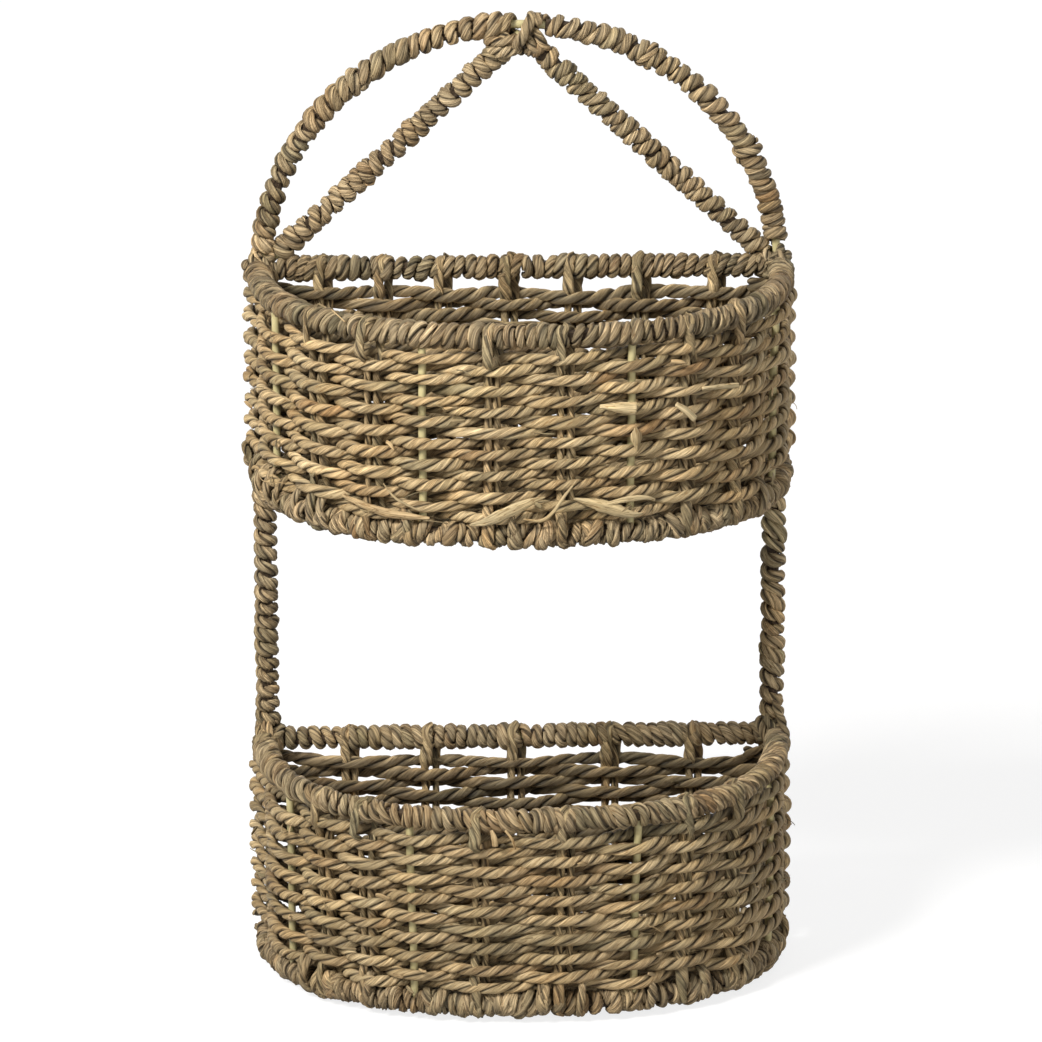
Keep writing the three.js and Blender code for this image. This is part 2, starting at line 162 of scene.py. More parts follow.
def circling(one, other, turn):
    """From one direction round to the other, at each angle."""
    return one * np.cos(turn)[:, None] + other * np.sin(turn)[:, None]


def sampled(places, travelled, values):
    """Rows of values at places along a line."""
    columns = [np.interp(places, travelled, values[:, k]) for k in range(values.shape[1])]
    return np.stack(columns, axis=1)


def resample(step, points, *others):
    """Points at even steps, and other values along them."""
    travelled = lengths_along(points)
    count = max(int(round(travelled[-1] / step)), 2)
    places = np.linspace(0, travelled[-1], count + 1)
    found = []
    for values in (points, *others):
        rows = sampled(places, travelled, values.reshape(len(values), -1))
        found.append(rows.reshape((len(places),) + values.shape[1:]))
    return found


def bend_through(corners, step=1.0):
    """A smooth curve through a few points."""
    corners = np.asarray(corners, float)
    padded = np.vstack([2 * corners[0] - corners[1], corners, 2 * corners[-1] - corners[-2]])
    pieces = []
    for a, b, c, d in zip(padded, padded[1:], padded[2:], padded[3:]):
        t = np.linspace(0, 1, 16, endpoint=False)[:, None]
        pieces.append(
            0.5 * (2 * b + (c - a) * t + (2 * a - 5 * b + 4 * c - d) * t**2
                   + (3 * b - a - 3 * c + d) * t**3)
        )
    pieces.append(corners[-1:])
    return resample(step, np.vstack(pieces))[0]


def directions(path, outward):
    """Unit vectors along a path, outward from it, and across both."""
    along = unit(np.gradient(path, axis=0))
    out = unit(outward - (outward * along).sum(axis=1, keepdims=True) * along)
    return along, out, np.cross(along, out)


def skin_round(path, outward, away, side):
    """Rings of points round a path, so far outward from it and so far across it."""
    _, out, across = directions(path, outward)
    return path[:, None] + out[:, None] * away[..., None] + across[:, None] * side[..., None]


# Meshes made of long closed tubes

GRAIN_SHIFTS = 900  # range of the shifts that give each tube fibres of its own
MAP_GAP = 2.0  # free length before and after a tube's strip of the map
MAP_ROW_GAP = 0.8  # free height between the rows of the map
MAP_SPARE = 6.0  # how far a strip may run past the end of its row
CAP = 1.0  # length that a tube's end takes in the map


def tube_faces(along, sides, girth, base):
    """Each face's points and number of points, for a tube with closed ends. With them go the
    places of its corners: along, round, and where the face starts, which decides its row."""
    count = len(along)
    index = base + np.arange(count * sides).reshape(count, sides)
    after = np.roll(index, -1, axis=1)
    left = np.arange(sides) / sides * girth
    right = (np.arange(sides) + 1) / sides * girth
    near, far = np.repeat(along[:-1], sides), np.repeat(along[1:], sides)
    lefts, rights = np.tile(left, count - 1), np.tile(right, count - 1)
    quads = np.stack([index[:-1], after[:-1], after[1:], index[1:]], axis=-1)
    corners = [(near, lefts), (near, rights), (far, rights), (far, lefts)]
    faces = [quads.ravel()]
    sizes = [np.full(len(near), 4)]
    places = [np.stack([np.stack([u, v, near], -1) for u, v in corners], axis=1).reshape(-1, 3)]
    tip = base + count * sides
    first_cap = (after[0], index[0], tip, right, left, along[0], -CAP, along[0] - CAP)
    last_cap = (index[-1], after[-1], tip + 1, left, right, along[-1], CAP, along[-2])
    for one, two, end, v_one, v_two, at, beyond, start in (first_cap, last_cap):
        corners = [(at, v_one), (at, v_two), (at + beyond, (v_one + v_two) / 2)]
        triangles = np.stack([one, two, np.full(sides, end)], axis=-1)
        places.append(np.stack([
            np.stack([np.full(sides, u), v, np.full(sides, start)], -1) for u, v in corners
        ], axis=1).reshape(-1, 3))
        faces.append(triangles.ravel())
        sizes.append(np.full(sides, 3))
    return faces, sizes, places


def fill(items, key, values, kind=np.float32):
    items.foreach_set(key, values.astype(kind).ravel())


class Strands:
    """Tubes gathered into one piece, each with its colour, its grain and its own strip of the map."""

    def __init__(self, name):
        self.name = name
        self.tubes = []

    def add(self, rng, skin, tone, travelled, around):
        """One tube. Its grain runs along it and round it, shifted by a chance number."""
        grain = np.empty(skin.shape)
        grain[..., 0] = travelled[:, None]
        grain[..., 1] = around
        grain[..., 2] = rng.uniform(0, GRAIN_SHIFTS)
        self.tubes.append((skin, tone, grain))

    def build(self, slot, nodes=()):
        """Writes the tubes as one mesh in a slot's material, in place of the nodes named."""
        verts, tones, grains, faces, sizes, places = [], [], [], [], [], []
        base = 0
        travelled = 0.0
        widest = 0.0
        for skin, tone, grain in self.tubes:
            middle = skin.mean(axis=1)
            girth = np.linalg.norm(skin - np.roll(skin, -1, axis=1), axis=2).sum(axis=1).max()
            widest = max(widest, girth)
            along = travelled + MAP_GAP + lengths_along(middle)
            travelled = along[-1] + MAP_GAP
            reach = 0.25 * np.linalg.norm(skin[0] - middle[0], axis=1).mean()
            tips = [
                middle[0] + unit(middle[0] - middle[1]) * reach,
                middle[-1] + unit(middle[-1] - middle[-2]) * reach,
            ]
            verts += [skin.reshape(-1, 3), tips]
            for kept, values in ((tones, tone), (grains, grain)):
                kept += [values.reshape(-1, 3), [values[0].mean(axis=0), values[-1].mean(axis=0)]]
            found = tube_faces(along, skin.shape[1], girth, base)
            for kept, more in zip((faces, sizes, places), found):
                kept += more
            base += skin.shape[0] * skin.shape[1] + len(tips)
        verts, tones, grains, places = map(np.vstack, (verts, tones, grains, places))
        faces, sizes = map(np.concatenate, (faces, sizes))

        # The strips are laid end to end and cut into rows, so that the map comes out square
        row = widest + MAP_ROW_GAP
        width = math.sqrt(travelled * row)
        line = np.floor(places[:, 2] / width)
        scale = 1 / max(width + MAP_SPARE, (line.max() + 1) * row)
        uv = np.stack([
            (places[:, 0] - line * width + MAP_GAP) * scale,
            (places[:, 1] + line * row + MAP_ROW_GAP / 2) * scale,
        ], axis=-1)

        mesh = bpy.data.meshes.new(self.name)
        mesh.vertices.add(len(verts))
        fill(mesh.vertices, "co", verts * MM)
        mesh.loops.add(len(faces))
        fill(mesh.loops, "vertex_index", faces, np.int32)
        mesh.polygons.add(len(sizes))
        fill(mesh.polygons, "loop_start", np.cumsum(sizes) - sizes, np.int32)
        fill(mesh.polygons, "use_smooth", np.ones(len(sizes)), bool)
        mesh.update(calc_edges=True)
        fill(mesh.uv_layers.new(name="OFBake").uv, "vector", uv)
        colours = mesh.color_attributes.new(name="tone", type="FLOAT_COLOR", domain="POINT")
        fill(colours.data, "color", np.hstack([np.clip(tones, 0, 1), np.ones((len(tones), 1))]))
        grain_layer = mesh.attributes.new(name="grain", type="FLOAT_VECTOR", domain="POINT")
        fill(grain_layer.data, "vector", grains)
        mesh.materials.append(materials[slot])
        piece = put_in_scene(self.name, mesh)
        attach(piece, "root")
        if nodes:
            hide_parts(*nodes)


def put_in_scene(name, data):
    """A new object with this data, linked to the scene."""
    made = bpy.data.objects.new(name, data)
    bpy.context.scene.collection.objects.link(made)
    return made


# Colours of dried seagrass, in linear light

def linear(red, green, blue):
    levels = np.array([red, green, blue]) / 255
    return np.where(levels <= 0.04045, levels / 12.92, ((levels + 0.055) / 1.055) ** 2.4)


STRAW = linear(248, 220, 170)
SAND = linear(226, 195, 146)
OLIVE = linear(202, 179, 136)
MOSS = linear(176, 160, 122)
RUST = linear(188, 152, 106)
BARK = linear(120, 96, 68)
CREAM = linear(240, 216, 168)
PAINT = linear(196, 184, 136)
MARKS = linear(150, 132, 88)

GREYER = np.array([0.765, 0.77, 0.81])
BLENDS = {
    "weave": ((STRAW, 1.0), (SAND, 1.1), (OLIVE, 0.8), (MOSS, 0.25), (RUST, 0.1)),
    "whip": ((STRAW * GREYER, 0.5), (SAND * GREYER, 1.0), (OLIVE * GREYER, 1.1),
             (MOSS * 0.85, 0.4), (RUST * 0.85, 0.12)),
    "stake": ((SAND, 0.7), (OLIVE, 1.0), (MOSS, 0.6), (RUST, 0.2)),
}
LEAF_LENGTH = 34.0  # how far a leaf shows before the next one covers it


def leaf_tone(rng, travelled, blend, length):
    """Colour along a ply, which changes from leaf to leaf."""
    colours = np.array([colour for colour, _ in BLENDS[blend]])
    shares = np.array([share for _, share in BLENDS[blend]])
    count = int((travelled[-1] - travelled[0]) / length) + 4
    chosen = rng.choice(len(colours), size=count, p=shares / shares.sum())
    picked = colours[chosen] * rng.uniform(0.76, 1.14, (count, 1))
    place = (travelled - travelled[0]) / length + rng.uniform(0, 1)
    first = np.floor(place).astype(int)
    part = np.clip((place - first - 0.5) * 2.2 + 0.5, 0, 1)[:, None]
    return picked[first] * (1 - part) + picked[first + 1] * part


# Cords

# Angles round a ply, and round a ply of the long cords
OUTER = np.radians([0, 26, 52, 78, 108, 144, 180, 216, 252, 282, 308, 334])
FINE = np.radians([0, 30, 60, 92, 132, 180, 228, 268, 300, 330])
# Angles round a leaf, closer together at its edges
LEAF_EDGES = np.radians([0, 50, 80, 100, 130, 180, 230, 260, 280, 310])
LEAF_CURL = 0.18  # how far a leaf's edges bend inward, as a share of its width
# How far a ply's middle lies out, its depth and its width, as shares of the cord's radius:
# for plain plies, and what pressing them into one round cord adds
PLY_SHARES = ((0.47, -0.11), (0.54, 0.06), (0.74, 0.12))
# Unevenness: by what share something changes, and over what length
TWIST_CHANGES = ((0.25, 14.0), (0.25, 55.0))
TWIST_LIMITS = (0.35, 2.0)
GIRTH_CHANGE = (0.13, 26.0)
PLY_CHANGE = (0.12, 9.0)
SPECKLE = (0.2, 7.0)
RIDGE_LENGTH = 7.0
FOLD_LENGTH = 16.0
TAPER = 0.7  # length of a cord's tapered end, as a share of its radius
BLUNT = 0.12  # share of a cord's section that is left at its very end
FOLD_SHADE_KEEPS = 0.15  # share of its colour that the fold between the plies keeps under painted shade
FIBRES_ROUND = 9.0  # length of the grain once round a ply
FIBRES_DRAWN = 0.38  # how far the twist draws the grain round, for each radian


def cord(strands, rng, path, outward, size, blend, squash=(1.0, 1.0), lay=1, half_twist=7.5,
         sides=OUTER, shade=0.0, unevenness=1.0, plump=0.0, fold=0.07, ridges=0.075,
         bright=1.0, stout=1.0):
    """Two plies turning about a path. Size is the cord's radius, squash its share of that
    outward and across, and lay is 1 where the plies rise to the right. Plump is 0 for two
    plain plies and 1 for two that are pressed into one round cord. Shade is painted shade:
    it darkens the side that faces inward. The fold between the plies is darkened by painted
    shade as well. Half twist, bright and stout, the share of the cord's thickness, may
    differ from point to point of the path."""
    travelled = lengths_along(path)
    near, far = [amount * drift(rng, travelled, length) for amount, length in TWIST_CHANGES]
    rate = np.clip(1 + unevenness * (near + far), *TWIST_LIMITS)
    steps = np.diff(travelled, prepend=0.0)
    turned = -lay * np.cumsum(rate * steps / half_twist) * math.pi + rng.uniform(0, TAU)
    girth = stout * varied(rng, travelled, GIRTH_CHANGE, unevenness)
    light = np.broadcast_to(bright, len(path))[:, None]
    common = leaf_tone(rng, travelled, blend, 2.2 * LEAF_LENGTH)
    far_out, depth, width = [plain + pressed * plump for plain, pressed in PLY_SHARES]
    near_end = np.minimum(travelled, travelled[-1] - travelled) / (TAPER * size)
    taper = np.sqrt(np.clip(near_end + BLUNT, 0, 1))
    around = np.arange(len(sides)) / len(sides) * FIBRES_ROUND
    # Clear is 0 in the fold between the plies, where painted shade darkens the colour, and 1 on the
    # outer half of a ply
    clear = np.clip((0.5 + 0.5 * np.cos(sides) - 0.12) / 0.5, 0, 1)
    painted_fold_shade = FOLD_SHADE_KEEPS + (1 - FOLD_SHADE_KEEPS) * clear * clear * (3 - 2 * clear)
    for ply in (0, 1):
        angle = (turned + math.pi * ply)[:, None]
        swell = girth * varied(rng, travelled, PLY_CHANGE, unevenness) * taper
        ridge = varied(rng, travelled, (ridges, RIDGE_LENGTH), unevenness, len(sides))
        ridge = ridge + fold * drift(rng, travelled, FOLD_LENGTH, len(sides))
        away = far_out * size * girth[:, None]
        deep = depth * size * swell[:, None] * ridge * np.cos(sides)
        wide = width * size * swell[:, None] * ridge * np.sin(sides)
        out = (away + deep) * np.cos(angle) - wide * np.sin(angle)
        side = (away + deep) * np.sin(angle) + wide * np.cos(angle)
        skin = skin_round(path, outward, out * squash[0], side * squash[1])
        tone = 0.5 * light * (common + leaf_tone(rng, travelled, blend, LEAF_LENGTH))
        tone = tone[:, None] * varied(rng, travelled, SPECKLE, columns=len(sides))[..., None]
        outside = np.cos(angle) * np.cos(sides) - np.sin(angle) * np.sin(sides)
        # Painted shade: darker in the fold between the plies and on the side that faces inward
        tone = tone * painted_fold_shade[None, :, None] * (1 - shade * np.clip(-outside, 0, 1))[..., None]
        fibres = around[None, :] + FIBRES_DRAWN * np.abs(turned - turned[0])[:, None]
        strands.add(rng, skin, tone, travelled, fibres)


def leaf(strands, rng, path, outward, width, thickness, tone, profile):
    """A flat strip of leaf. Profile is the share of its width from one end to the other."""
    travelled = lengths_along(path)
    share = travelled / travelled[-1]
    fade = np.interp(share, np.linspace(0, 1, len(profile)), profile)
    half = width / 2 * fade * varied(rng, travelled, (0.1, 5.0))
    curl = LEAF_CURL * width * np.sin(LEAF_EDGES) ** 2
    out = thickness / 2 * np.cos(LEAF_EDGES)[None, :] - curl[None, :] * fade[:, None]
    out = out + 0.12 * thickness * drift(rng, travelled, 4.0, len(LEAF_EDGES))
    side = half[:, None] * np.sin(LEAF_EDGES)[None, :]
    skin = skin_round(path, outward, out, side)
    tone = tone * varied(rng, travelled, (0.1, 6.0), columns=len(LEAF_EDGES))[..., None]
    strands.add(rng, skin, tone, travelled, (side - side.min()) * 0.9)


def rod(strands, rng, path, outward, radius, sides, roughness, colour):
    """A plain round tube. Its roughness is a change, as an amount and a length."""
    travelled = lengths_along(path)
    turn = np.arange(sides) * TAU / sides
    swell = radius * varied(rng, travelled, roughness, columns=sides)
    skin = skin_round(path, outward, swell * np.cos(turn), swell * np.sin(turn))
    tone = colour * np.ones((len(path), sides, 1))
    strands.add(rng, skin, tone, travelled, turn[None, :] * radius)


def wire(strands, rng, path, outward, radius):
    rod(strands, rng, path, outward, radius, 14, (0.015, 14.0), PAINT)


def helix(rng, path, outward, radius, pitch, hand, unevenness):
    """The middle line of a cord wound round a path, and its outward direction."""
    path, outward = resample(1.5 * pitch / (TAU * radius), path, outward)
    along, out, across = directions(path, outward)
    travelled = lengths_along(path)
    rate = varied(rng, travelled, (0.13, 1.7 * pitch), unevenness)
    steps = np.diff(travelled, prepend=0.0)
    turn = hand * TAU * np.cumsum(rate * steps) / pitch
    lean = 0.28 * pitch * unevenness * drift(rng, travelled, 2.3 * pitch)
    reach = radius * varied(rng, travelled, (0.045, 0.6 * pitch), unevenness)
    away = circling(out, across, turn)
    centre = path + away * reach[:, None] + along * (lean * np.cos(turn + 1.0))[:, None]
    return centre, away


# Ring outlines: left corner, bow, right corner, back bar from right to left

CORNER_STEPS = 14
BOW_STEPS = 420
BAR_STEPS = 240
FINE_STEPS = 4000  # points on the bow's curve before it is cut into even steps
LEFT_POST_AT = CORNER_STEPS // 3 + 1
RIGHT_POST_AT = CORNER_STEPS + BOW_STEPS + CORNER_STEPS * 2 // 3


def bow_points(half, depth):
    start = math.asin((CORNER / depth) ** (1 / BOW_POWER))
    turn = np.linspace(start, math.pi - start, FINE_STEPS)
    cosine = np.cos(turn)
    x = -np.sign(cosine) * np.abs(cosine) ** BOW_POWER * half
    y = -(np.sin(turn) ** BOW_POWER) * depth
    points = np.stack([x, y], axis=1)
    travelled = lengths_along(points)
    return sampled(np.linspace(0, travelled[-1], BOW_STEPS + 1), travelled, points)


def corner_points(middle, turn):
    return np.stack([middle + CORNER * np.cos(turn), CORNER * (np.sin(turn) - 1)], axis=1)


def outline(facts):
    """Closed outline of a ring, without repeating its first point."""
    straight = facts["half"] - CORNER
    left = corner_points(-straight, np.linspace(math.pi / 2, math.pi, CORNER_STEPS, endpoint=False))
    right = corner_points(straight, np.linspace(0, math.pi / 2, CORNER_STEPS + 1)[1:])
    x = np.linspace(straight, -straight, BAR_STEPS + 1)[1:-1]
    bar = np.stack([x, 0 * x], axis=1)
    flat = np.vstack([left, bow_points(facts["half"], facts["depth"]), right, bar])
    flat[:, 1] += BAR
    return flat


def outwards(flat):
    along = unit(np.roll(flat, -1, axis=0) - np.roll(flat, 1, axis=0))
    return np.stack([along[:, 1], -along[:, 0]], axis=1)


def lifted(flat, height):
    """Flat points or directions with a height each, or one for all."""
    return np.column_stack([flat, np.broadcast_to(height, len(flat))])


outlines = {key: outline(facts) for key, facts in rings.items()}


def ring_path(key):
    """A ring's middle line, and outwards, from the middle of its back bar round to it again."""
    flat = outlines[key]
    seam = len(flat) - BAR_STEPS // 2
    path = lifted(np.roll(flat, -seam, axis=0), rings[key]["height"])
    return path, lifted(np.roll(outwards(flat), -seam, axis=0), 0.0)


class Wall:
    """A basket's wall from its base to its rim, unrolled from the left corner round to it again."""

    def __init__(self, tier):
        rim, base = outlines[tier, "rim"], outlines[tier, "base"]
        self.middle = (rim + base) / 2
        out = outwards(self.middle)
        self.rim, self.base, self.out = [np.vstack([t, t[:1]]) for t in (rim, base, out)]
        self.top, self.bottom = rings[tier, "rim"]["height"], rings[tier, "base"]["height"]
        self.travel = lengths_along(np.vstack([self.middle, self.middle[:1]]))
        self.around = self.travel[-1]

    def points(self, here, height, away):
        """Places so far along the wall, at a height and so far outside its middle."""
        here = np.mod(here, self.around)
        share = ((height - self.bottom) / (self.top - self.bottom))[:, None]
        rim, base, out = [sampled(here, self.travel, t) for t in (self.rim, self.base, self.out)]
        out = unit(out)
        flat = base * (1 - share) + rim * share + out * away[:, None]
        return lifted(flat, height), lifted(out, 0.0)

    def nearest(self, foot, head):
        """Which point of the outline is nearest to an upright piece with these ends."""
        place = (foot[:2] + head[:2]) / 2
        return int(np.argmin(np.linalg.norm(self.middle - place, axis=1)))

    def curve(self, corners):
        """A smooth line for a leaf, through places given as along, height and away."""
        line = bend_through(corners, 0.8)
        return self.points(line[:, 0], line[:, 1], line[:, 2])

    def along(self, x):
        """How far along the wall the front has this x."""
        bow = slice(CORNER_STEPS, CORNER_STEPS + BOW_STEPS)
        return float(np.interp(x, self.middle[bow, 0], self.travel[:-1][bow]))

    def front(self, corners):
        """A smooth line for a leaf on the front, through places given as x, height and away."""
        return self.curve([(self.along(x), height, away) for x, height, away in corners])


walls = {tier: Wall(tier) for tier in TIERS}


# Materials

materials = {}


def new_material(name):
    """The empty node tree of a new material, which is kept under its name."""
    materials[name] = bpy.data.materials.new(name)
    materials[name].use_nodes = True
    tree = materials[name].node_tree
    tree.nodes.clear()
    return tree


def node(tree, kind, inputs=None, **settings):
    """A node with its settings. An input is linked where it is given another node's output."""
    made = tree.nodes.new(kind)
    for key, value in settings.items():
        setattr(made, key, value)
    for key, value in (inputs or {}).items():
        if isinstance(value, bpy.types.NodeSocket):
            tree.links.new(value, made.inputs[key])
        else:
            made.inputs[key].default_value = value
    return made


def attribute(tree, name, output):
    return node(tree, "ShaderNodeAttribute", attribute_name=name).outputs[output]


def stretched(tree, vector, scale, shift=(0.0, 0.0, 0.0)):
    inputs = {"Vector": vector, "Location": shift, "Scale": scale}
    return node(tree, "ShaderNodeMapping", inputs).outputs["Vector"]


def noise(tree, vector, scale, detail, roughness):
    inputs = {"Vector": vector, "Scale": scale, "Detail": detail, "Roughness": roughness}
    return node(tree, "ShaderNodeTexNoise", inputs).outputs["Fac"]


def remap(tree, value, start, end, to_start=0.0, to_end=1.0):
    """A value that runs from start to end, brought to another range."""
    inputs = {"Value": value, "From Min": start, "From Max": end, "To Min": to_start, "To Max": to_end}
    return node(tree, "ShaderNodeMapRange", inputs).outputs["Result"]


def maths(tree, operation, *values):
    made = node(tree, "ShaderNodeMath", dict(enumerate(values)), operation=operation)
    return made.outputs["Value"]


def multiplied(tree, colour, factors):
    made = node(tree, "ShaderNodeVectorMath", {0: colour, 1: factors}, operation="MULTIPLY")
    return made.outputs["Vector"]


def mixed(tree, share, first, second):
    """Two colours mixed, with this share of the second."""
    inputs = {"Factor": share, "A": first, "B": second}
    return node(tree, "ShaderNodeMix", inputs, data_type="RGBA").outputs["Result"]


def surface(tree, height, strength, distance, inputs):
    """The shader with these inputs, and its relief."""
    bump = node(tree, "ShaderNodeBump", {"Strength": strength, "Distance": distance, "Height": height})
    shader = node(tree, "ShaderNodeBsdfPrincipled", {**inputs, "Normal": bump.outputs["Normal"]})
    node(tree, "ShaderNodeOutputMaterial", {"Surface": shader.outputs["BSDF"]})


def seagrass(name, low=0.42, high=1.24, fibres_from=0.5, fibres_to=1.28, crack_colour=(0.4, 0.31, 0.22),
             raised=0.0007):
    """Leaf fibres: streaks along each ply, patches of age, and a fine fibre relief."""
    tree = new_material(name)
    tone = attribute(tree, "tone", "Color")
    grain = attribute(tree, "grain", "Vector")
    place = node(tree, "ShaderNodeTexCoord").outputs["Object"]

    broad = noise(tree, stretched(tree, grain, (0.05, 1.0, 1.0)), 1.0, 3.0, 0.6)
    fine = noise(tree, stretched(tree, grain, (0.09, 2.3, 1.0)), 1.0, 2.0, 0.55)
    streak = remap(tree, broad, 0.34, 0.66, low, high)
    fibre = remap(tree, fine, 0.3, 0.7, fibres_from, fibres_to)
    strength = maths(tree, "MULTIPLY", streak, fibre)
    plain = node(tree, "ShaderNodeVectorMath", {0: tone, "Scale": strength}, operation="SCALE")
    plain = plain.outputs["Vector"]

    # Thin dark cracks follow the lines where a third noise passes its middle
    edge = noise(tree, stretched(tree, grain, (0.045, 0.62, 1.0), (3.0, 7.0, 1.0)), 1.0, 2.5, 0.6)
    apart = maths(tree, "ABSOLUTE", maths(tree, "SUBTRACT", edge, 0.5))
    whole = remap(tree, apart, 0.0, 0.028)
    cracked = mixed(tree, whole, multiplied(tree, plain, crack_colour), plain)

    aged = remap(tree, noise(tree, place, 42.0, 2.0, 0.5), 0.42, 0.66)
    colour = mixed(tree, aged, cracked, multiplied(tree, cracked, (1.0, 0.96, 0.88)))

    relief = maths(tree, "MULTIPLY_ADD", whole, 0.5, maths(tree, "ADD", fine, broad))
    crumple = noise(tree, place, 620.0, 2.0, 0.6)
    relief = maths(tree, "MULTIPLY_ADD", crumple, 0.9, relief)
    roughness = remap(tree, broad, 0.3, 0.7, 0.85, 0.48)
    surface(tree, relief, 0.9, raised,
            {"Base Color": colour, "Roughness": roughness, "Specular IOR Level": 0.35})


def painted():
    """Khaki paint on steel wire, a little uneven, with brown marks."""
    tree = new_material("painted_wire")
    place = node(tree, "ShaderNodeTexCoord").outputs["Object"]
    marks = noise(tree, place, 160.0, 3.0, 0.6)
    share = remap(tree, marks, 0.52, 0.72, 0.0, 0.55)
    colour = mixed(tree, share, attribute(tree, "tone", "Color"), (*MARKS, 1))
    surface(tree, marks, 0.25, 0.0003,
            {"Base Color": colour, "Roughness": 0.42, "Specular IOR Level": 0.45})


painted()
seagrass("seagrass_weave", low=0.74, high=1.2, fibres_from=0.72, fibres_to=1.2,
         crack_colour=(0.5, 0.4, 0.28), raised=0.0004)
seagrass("seagrass_whipping", low=0.52, high=1.24, fibres_from=0.56, fibres_to=1.26)
seagrass("seagrass_stakes", low=0.42, high=1.16)
seagrass("seagrass_lashing")
seagrass("seagrass_floor", low=0.6, high=1.1)


# Camera at the photograph's angle

AZIMUTH = math.radians(-1.9)
ELEVATION = math.radians(16.8)
DISTANCE = 3360.7
LENS = 219.94
TARGET = np.array([-1.5, BAR - 60.9, 253.2])
towards_camera = np.array([
    math.sin(AZIMUTH) * math.cos(ELEVATION),
    -math.cos(AZIMUTH) * math.cos(ELEVATION),
    math.sin(ELEVATION),
])
camera_data = bpy.data.cameras.new("camera")
camera_data.lens = LENS
camera_data.sensor_width = 36
camera_data.clip_end = 50
camera = put_in_scene("camera", camera_data)
camera.location = (TARGET + DISTANCE * towards_camera) * MM
camera.rotation_euler = (math.pi / 2 - ELEVATION, 0, AZIMUTH)
bpy.context.scene.camera = camera


# Wires

def arch_points(turn):
    """Points of the arch at angles round it, from 0 at the right shoulder."""
    return np.stack([
        POST_X * np.cos(turn),
        np.full(len(turn), POST_Y),
        SHOULDER + (CROWN - SHOULDER) * np.sin(turn),
    ], axis=1)


def brace_leg(side, from_corner, from_crown, count):
    """One leg of the brace, without so much of it at the corner and at the crown."""
    corner = np.array([side * POST_X, POST_Y, SHOULDER])
    along = unit(BRACE_TOP - corner)
    return np.linspace(corner + along * from_corner, BRACE_TOP - along * from_crown, count)


rng = np.random.default_rng(11)
wires = Strands("wire_frame")
for key in rings:
    wire(wires, rng, *resample(2.5, *ring_path(key)), WIRE)
arch = arch_points(np.linspace(math.pi, 0, 160))
post_heights = np.linspace(HANGER_FOOT, SHOULDER, 60)[:-1]
left_post = np.array([(-POST_X, POST_Y, height) for height in post_heights])
right_post = left_post[::-1] * [-1, 1, 1]
hanger = np.vstack([left_post, arch, right_post])
wire(wires, rng, *resample(2.5, hanger, facing(FRONT, hanger)), WIRE)
for side, _ in SIDES:
    leg = brace_leg(side, 6.0, 0.0, 80)
    wire(wires, rng, leg, facing(FRONT, leg), WIRE)
wires.build("painted_wire",
            ["hanger_wire", "brace_wire"] + [f"{tier}_{level}_wire" for tier, level in rings])

uprights = Strands("upright_wires")
upright_nodes = [name for tier in TIERS for name in named(f"{tier}_upright_wire")]
for name in upright_nodes:
    foot, head = ends_of(name)
    path = np.linspace(foot - 2.2 * UP, head + 2.2 * UP, 40)
    path[:, :2] += 0.5 * np.stack([drift(rng, path[:, 2], 30.0), drift(rng, path[:, 2], 30.0)], 1)
    wire(uprights, rng, path, facing(FRONT, path), UPRIGHT)
uprights.build("painted_wire", upright_nodes)


# Whipping

def whip(name, nodes, path, outward, pitch, hand, lay, half_twist, seed, unevenness, bright,
         size=3.1, squash=(0.84, 1.12), bar_twist=None):
    """A cord wound round a wire. Bar twist is the half twist on the back bar, if it differs."""
    rng = np.random.default_rng(seed)
    strands = Strands(name)
    middle = WHIPPED - 0.98 * size * squash[0]
    centre, away = helix(rng, path, outward, middle, pitch, hand, unevenness)
    if bar_twist:
        half_twist = np.where(centre[:, 1] > BAR - 12.0, bar_twist, half_twist)
    cord(strands, rng, centre, away, size, "whip", squash=squash, lay=lay, half_twist=half_twist,
         shade=0.7, unevenness=unevenness * 1.25, plump=0.6, fold=0.1, bright=bright)
    inner, inner_out = resample(2.0, path, outward)
    # The core of leaf under the whipping, darkened to BARK * 0.4 as painted shade in the gaps between
    # the turns
    rod(strands, rng, inner[2:-2], inner_out[2:-2], UNDER_WHIPPING, 9, (0.12, 4.0), BARK * 0.4)
    strands.build("seagrass_whipping", nodes)


# Each half's name, the shares of the half circle where it starts and ends, lay, half twist, seed
for name, first, last, lay, half_twist, seed in (
    ("arch_whipping_left", 0.985, 0.506, -1, 10.7, 21),
    ("arch_whipping_right", 0.478, 0.03, 1, 17.5, 29),
):
    half_arch = arch_points(np.linspace(math.pi * first, math.pi * last, 400))
    whip(name, ["arch_wrap"], half_arch, facing(FRONT, half_arch), 7.5, -1, lay, half_twist, seed,
         unevenness=1.25, bright=0.99)
for side, hand in SIDES:
    leg = brace_leg(side, 8.5, 9.0, 300)
    whip(f"{hand}_brace_whipping", [f"{hand}_brace_wrap"], leg, facing(FRONT, leg), 7.7, -1, 1,
         7.7 if side < 0 else 10.8, 22 + side, unevenness=1.25, bright=0.99)
    low, high = extent(f"{hand}_post_winding")
    post = np.linspace(
        [side * POST_X, POST_Y, low[2] - 6.0], [side * POST_X, POST_Y, high[2] + 6.0], 300
    )
    # The posts' brightness is painted light: the right whipping is painted brighter (1.6) where the
    # upper basket shades it from the key light, the lit left one a little darker (0.86)
    whip(f"{hand}_post_whipping", [f"{hand}_post_winding"], post, facing(FRONT, post), 7.85, -1, -1,
         7.7, 25 + side, unevenness=1.2, bright=0.86 if side < 0 else 1.6)

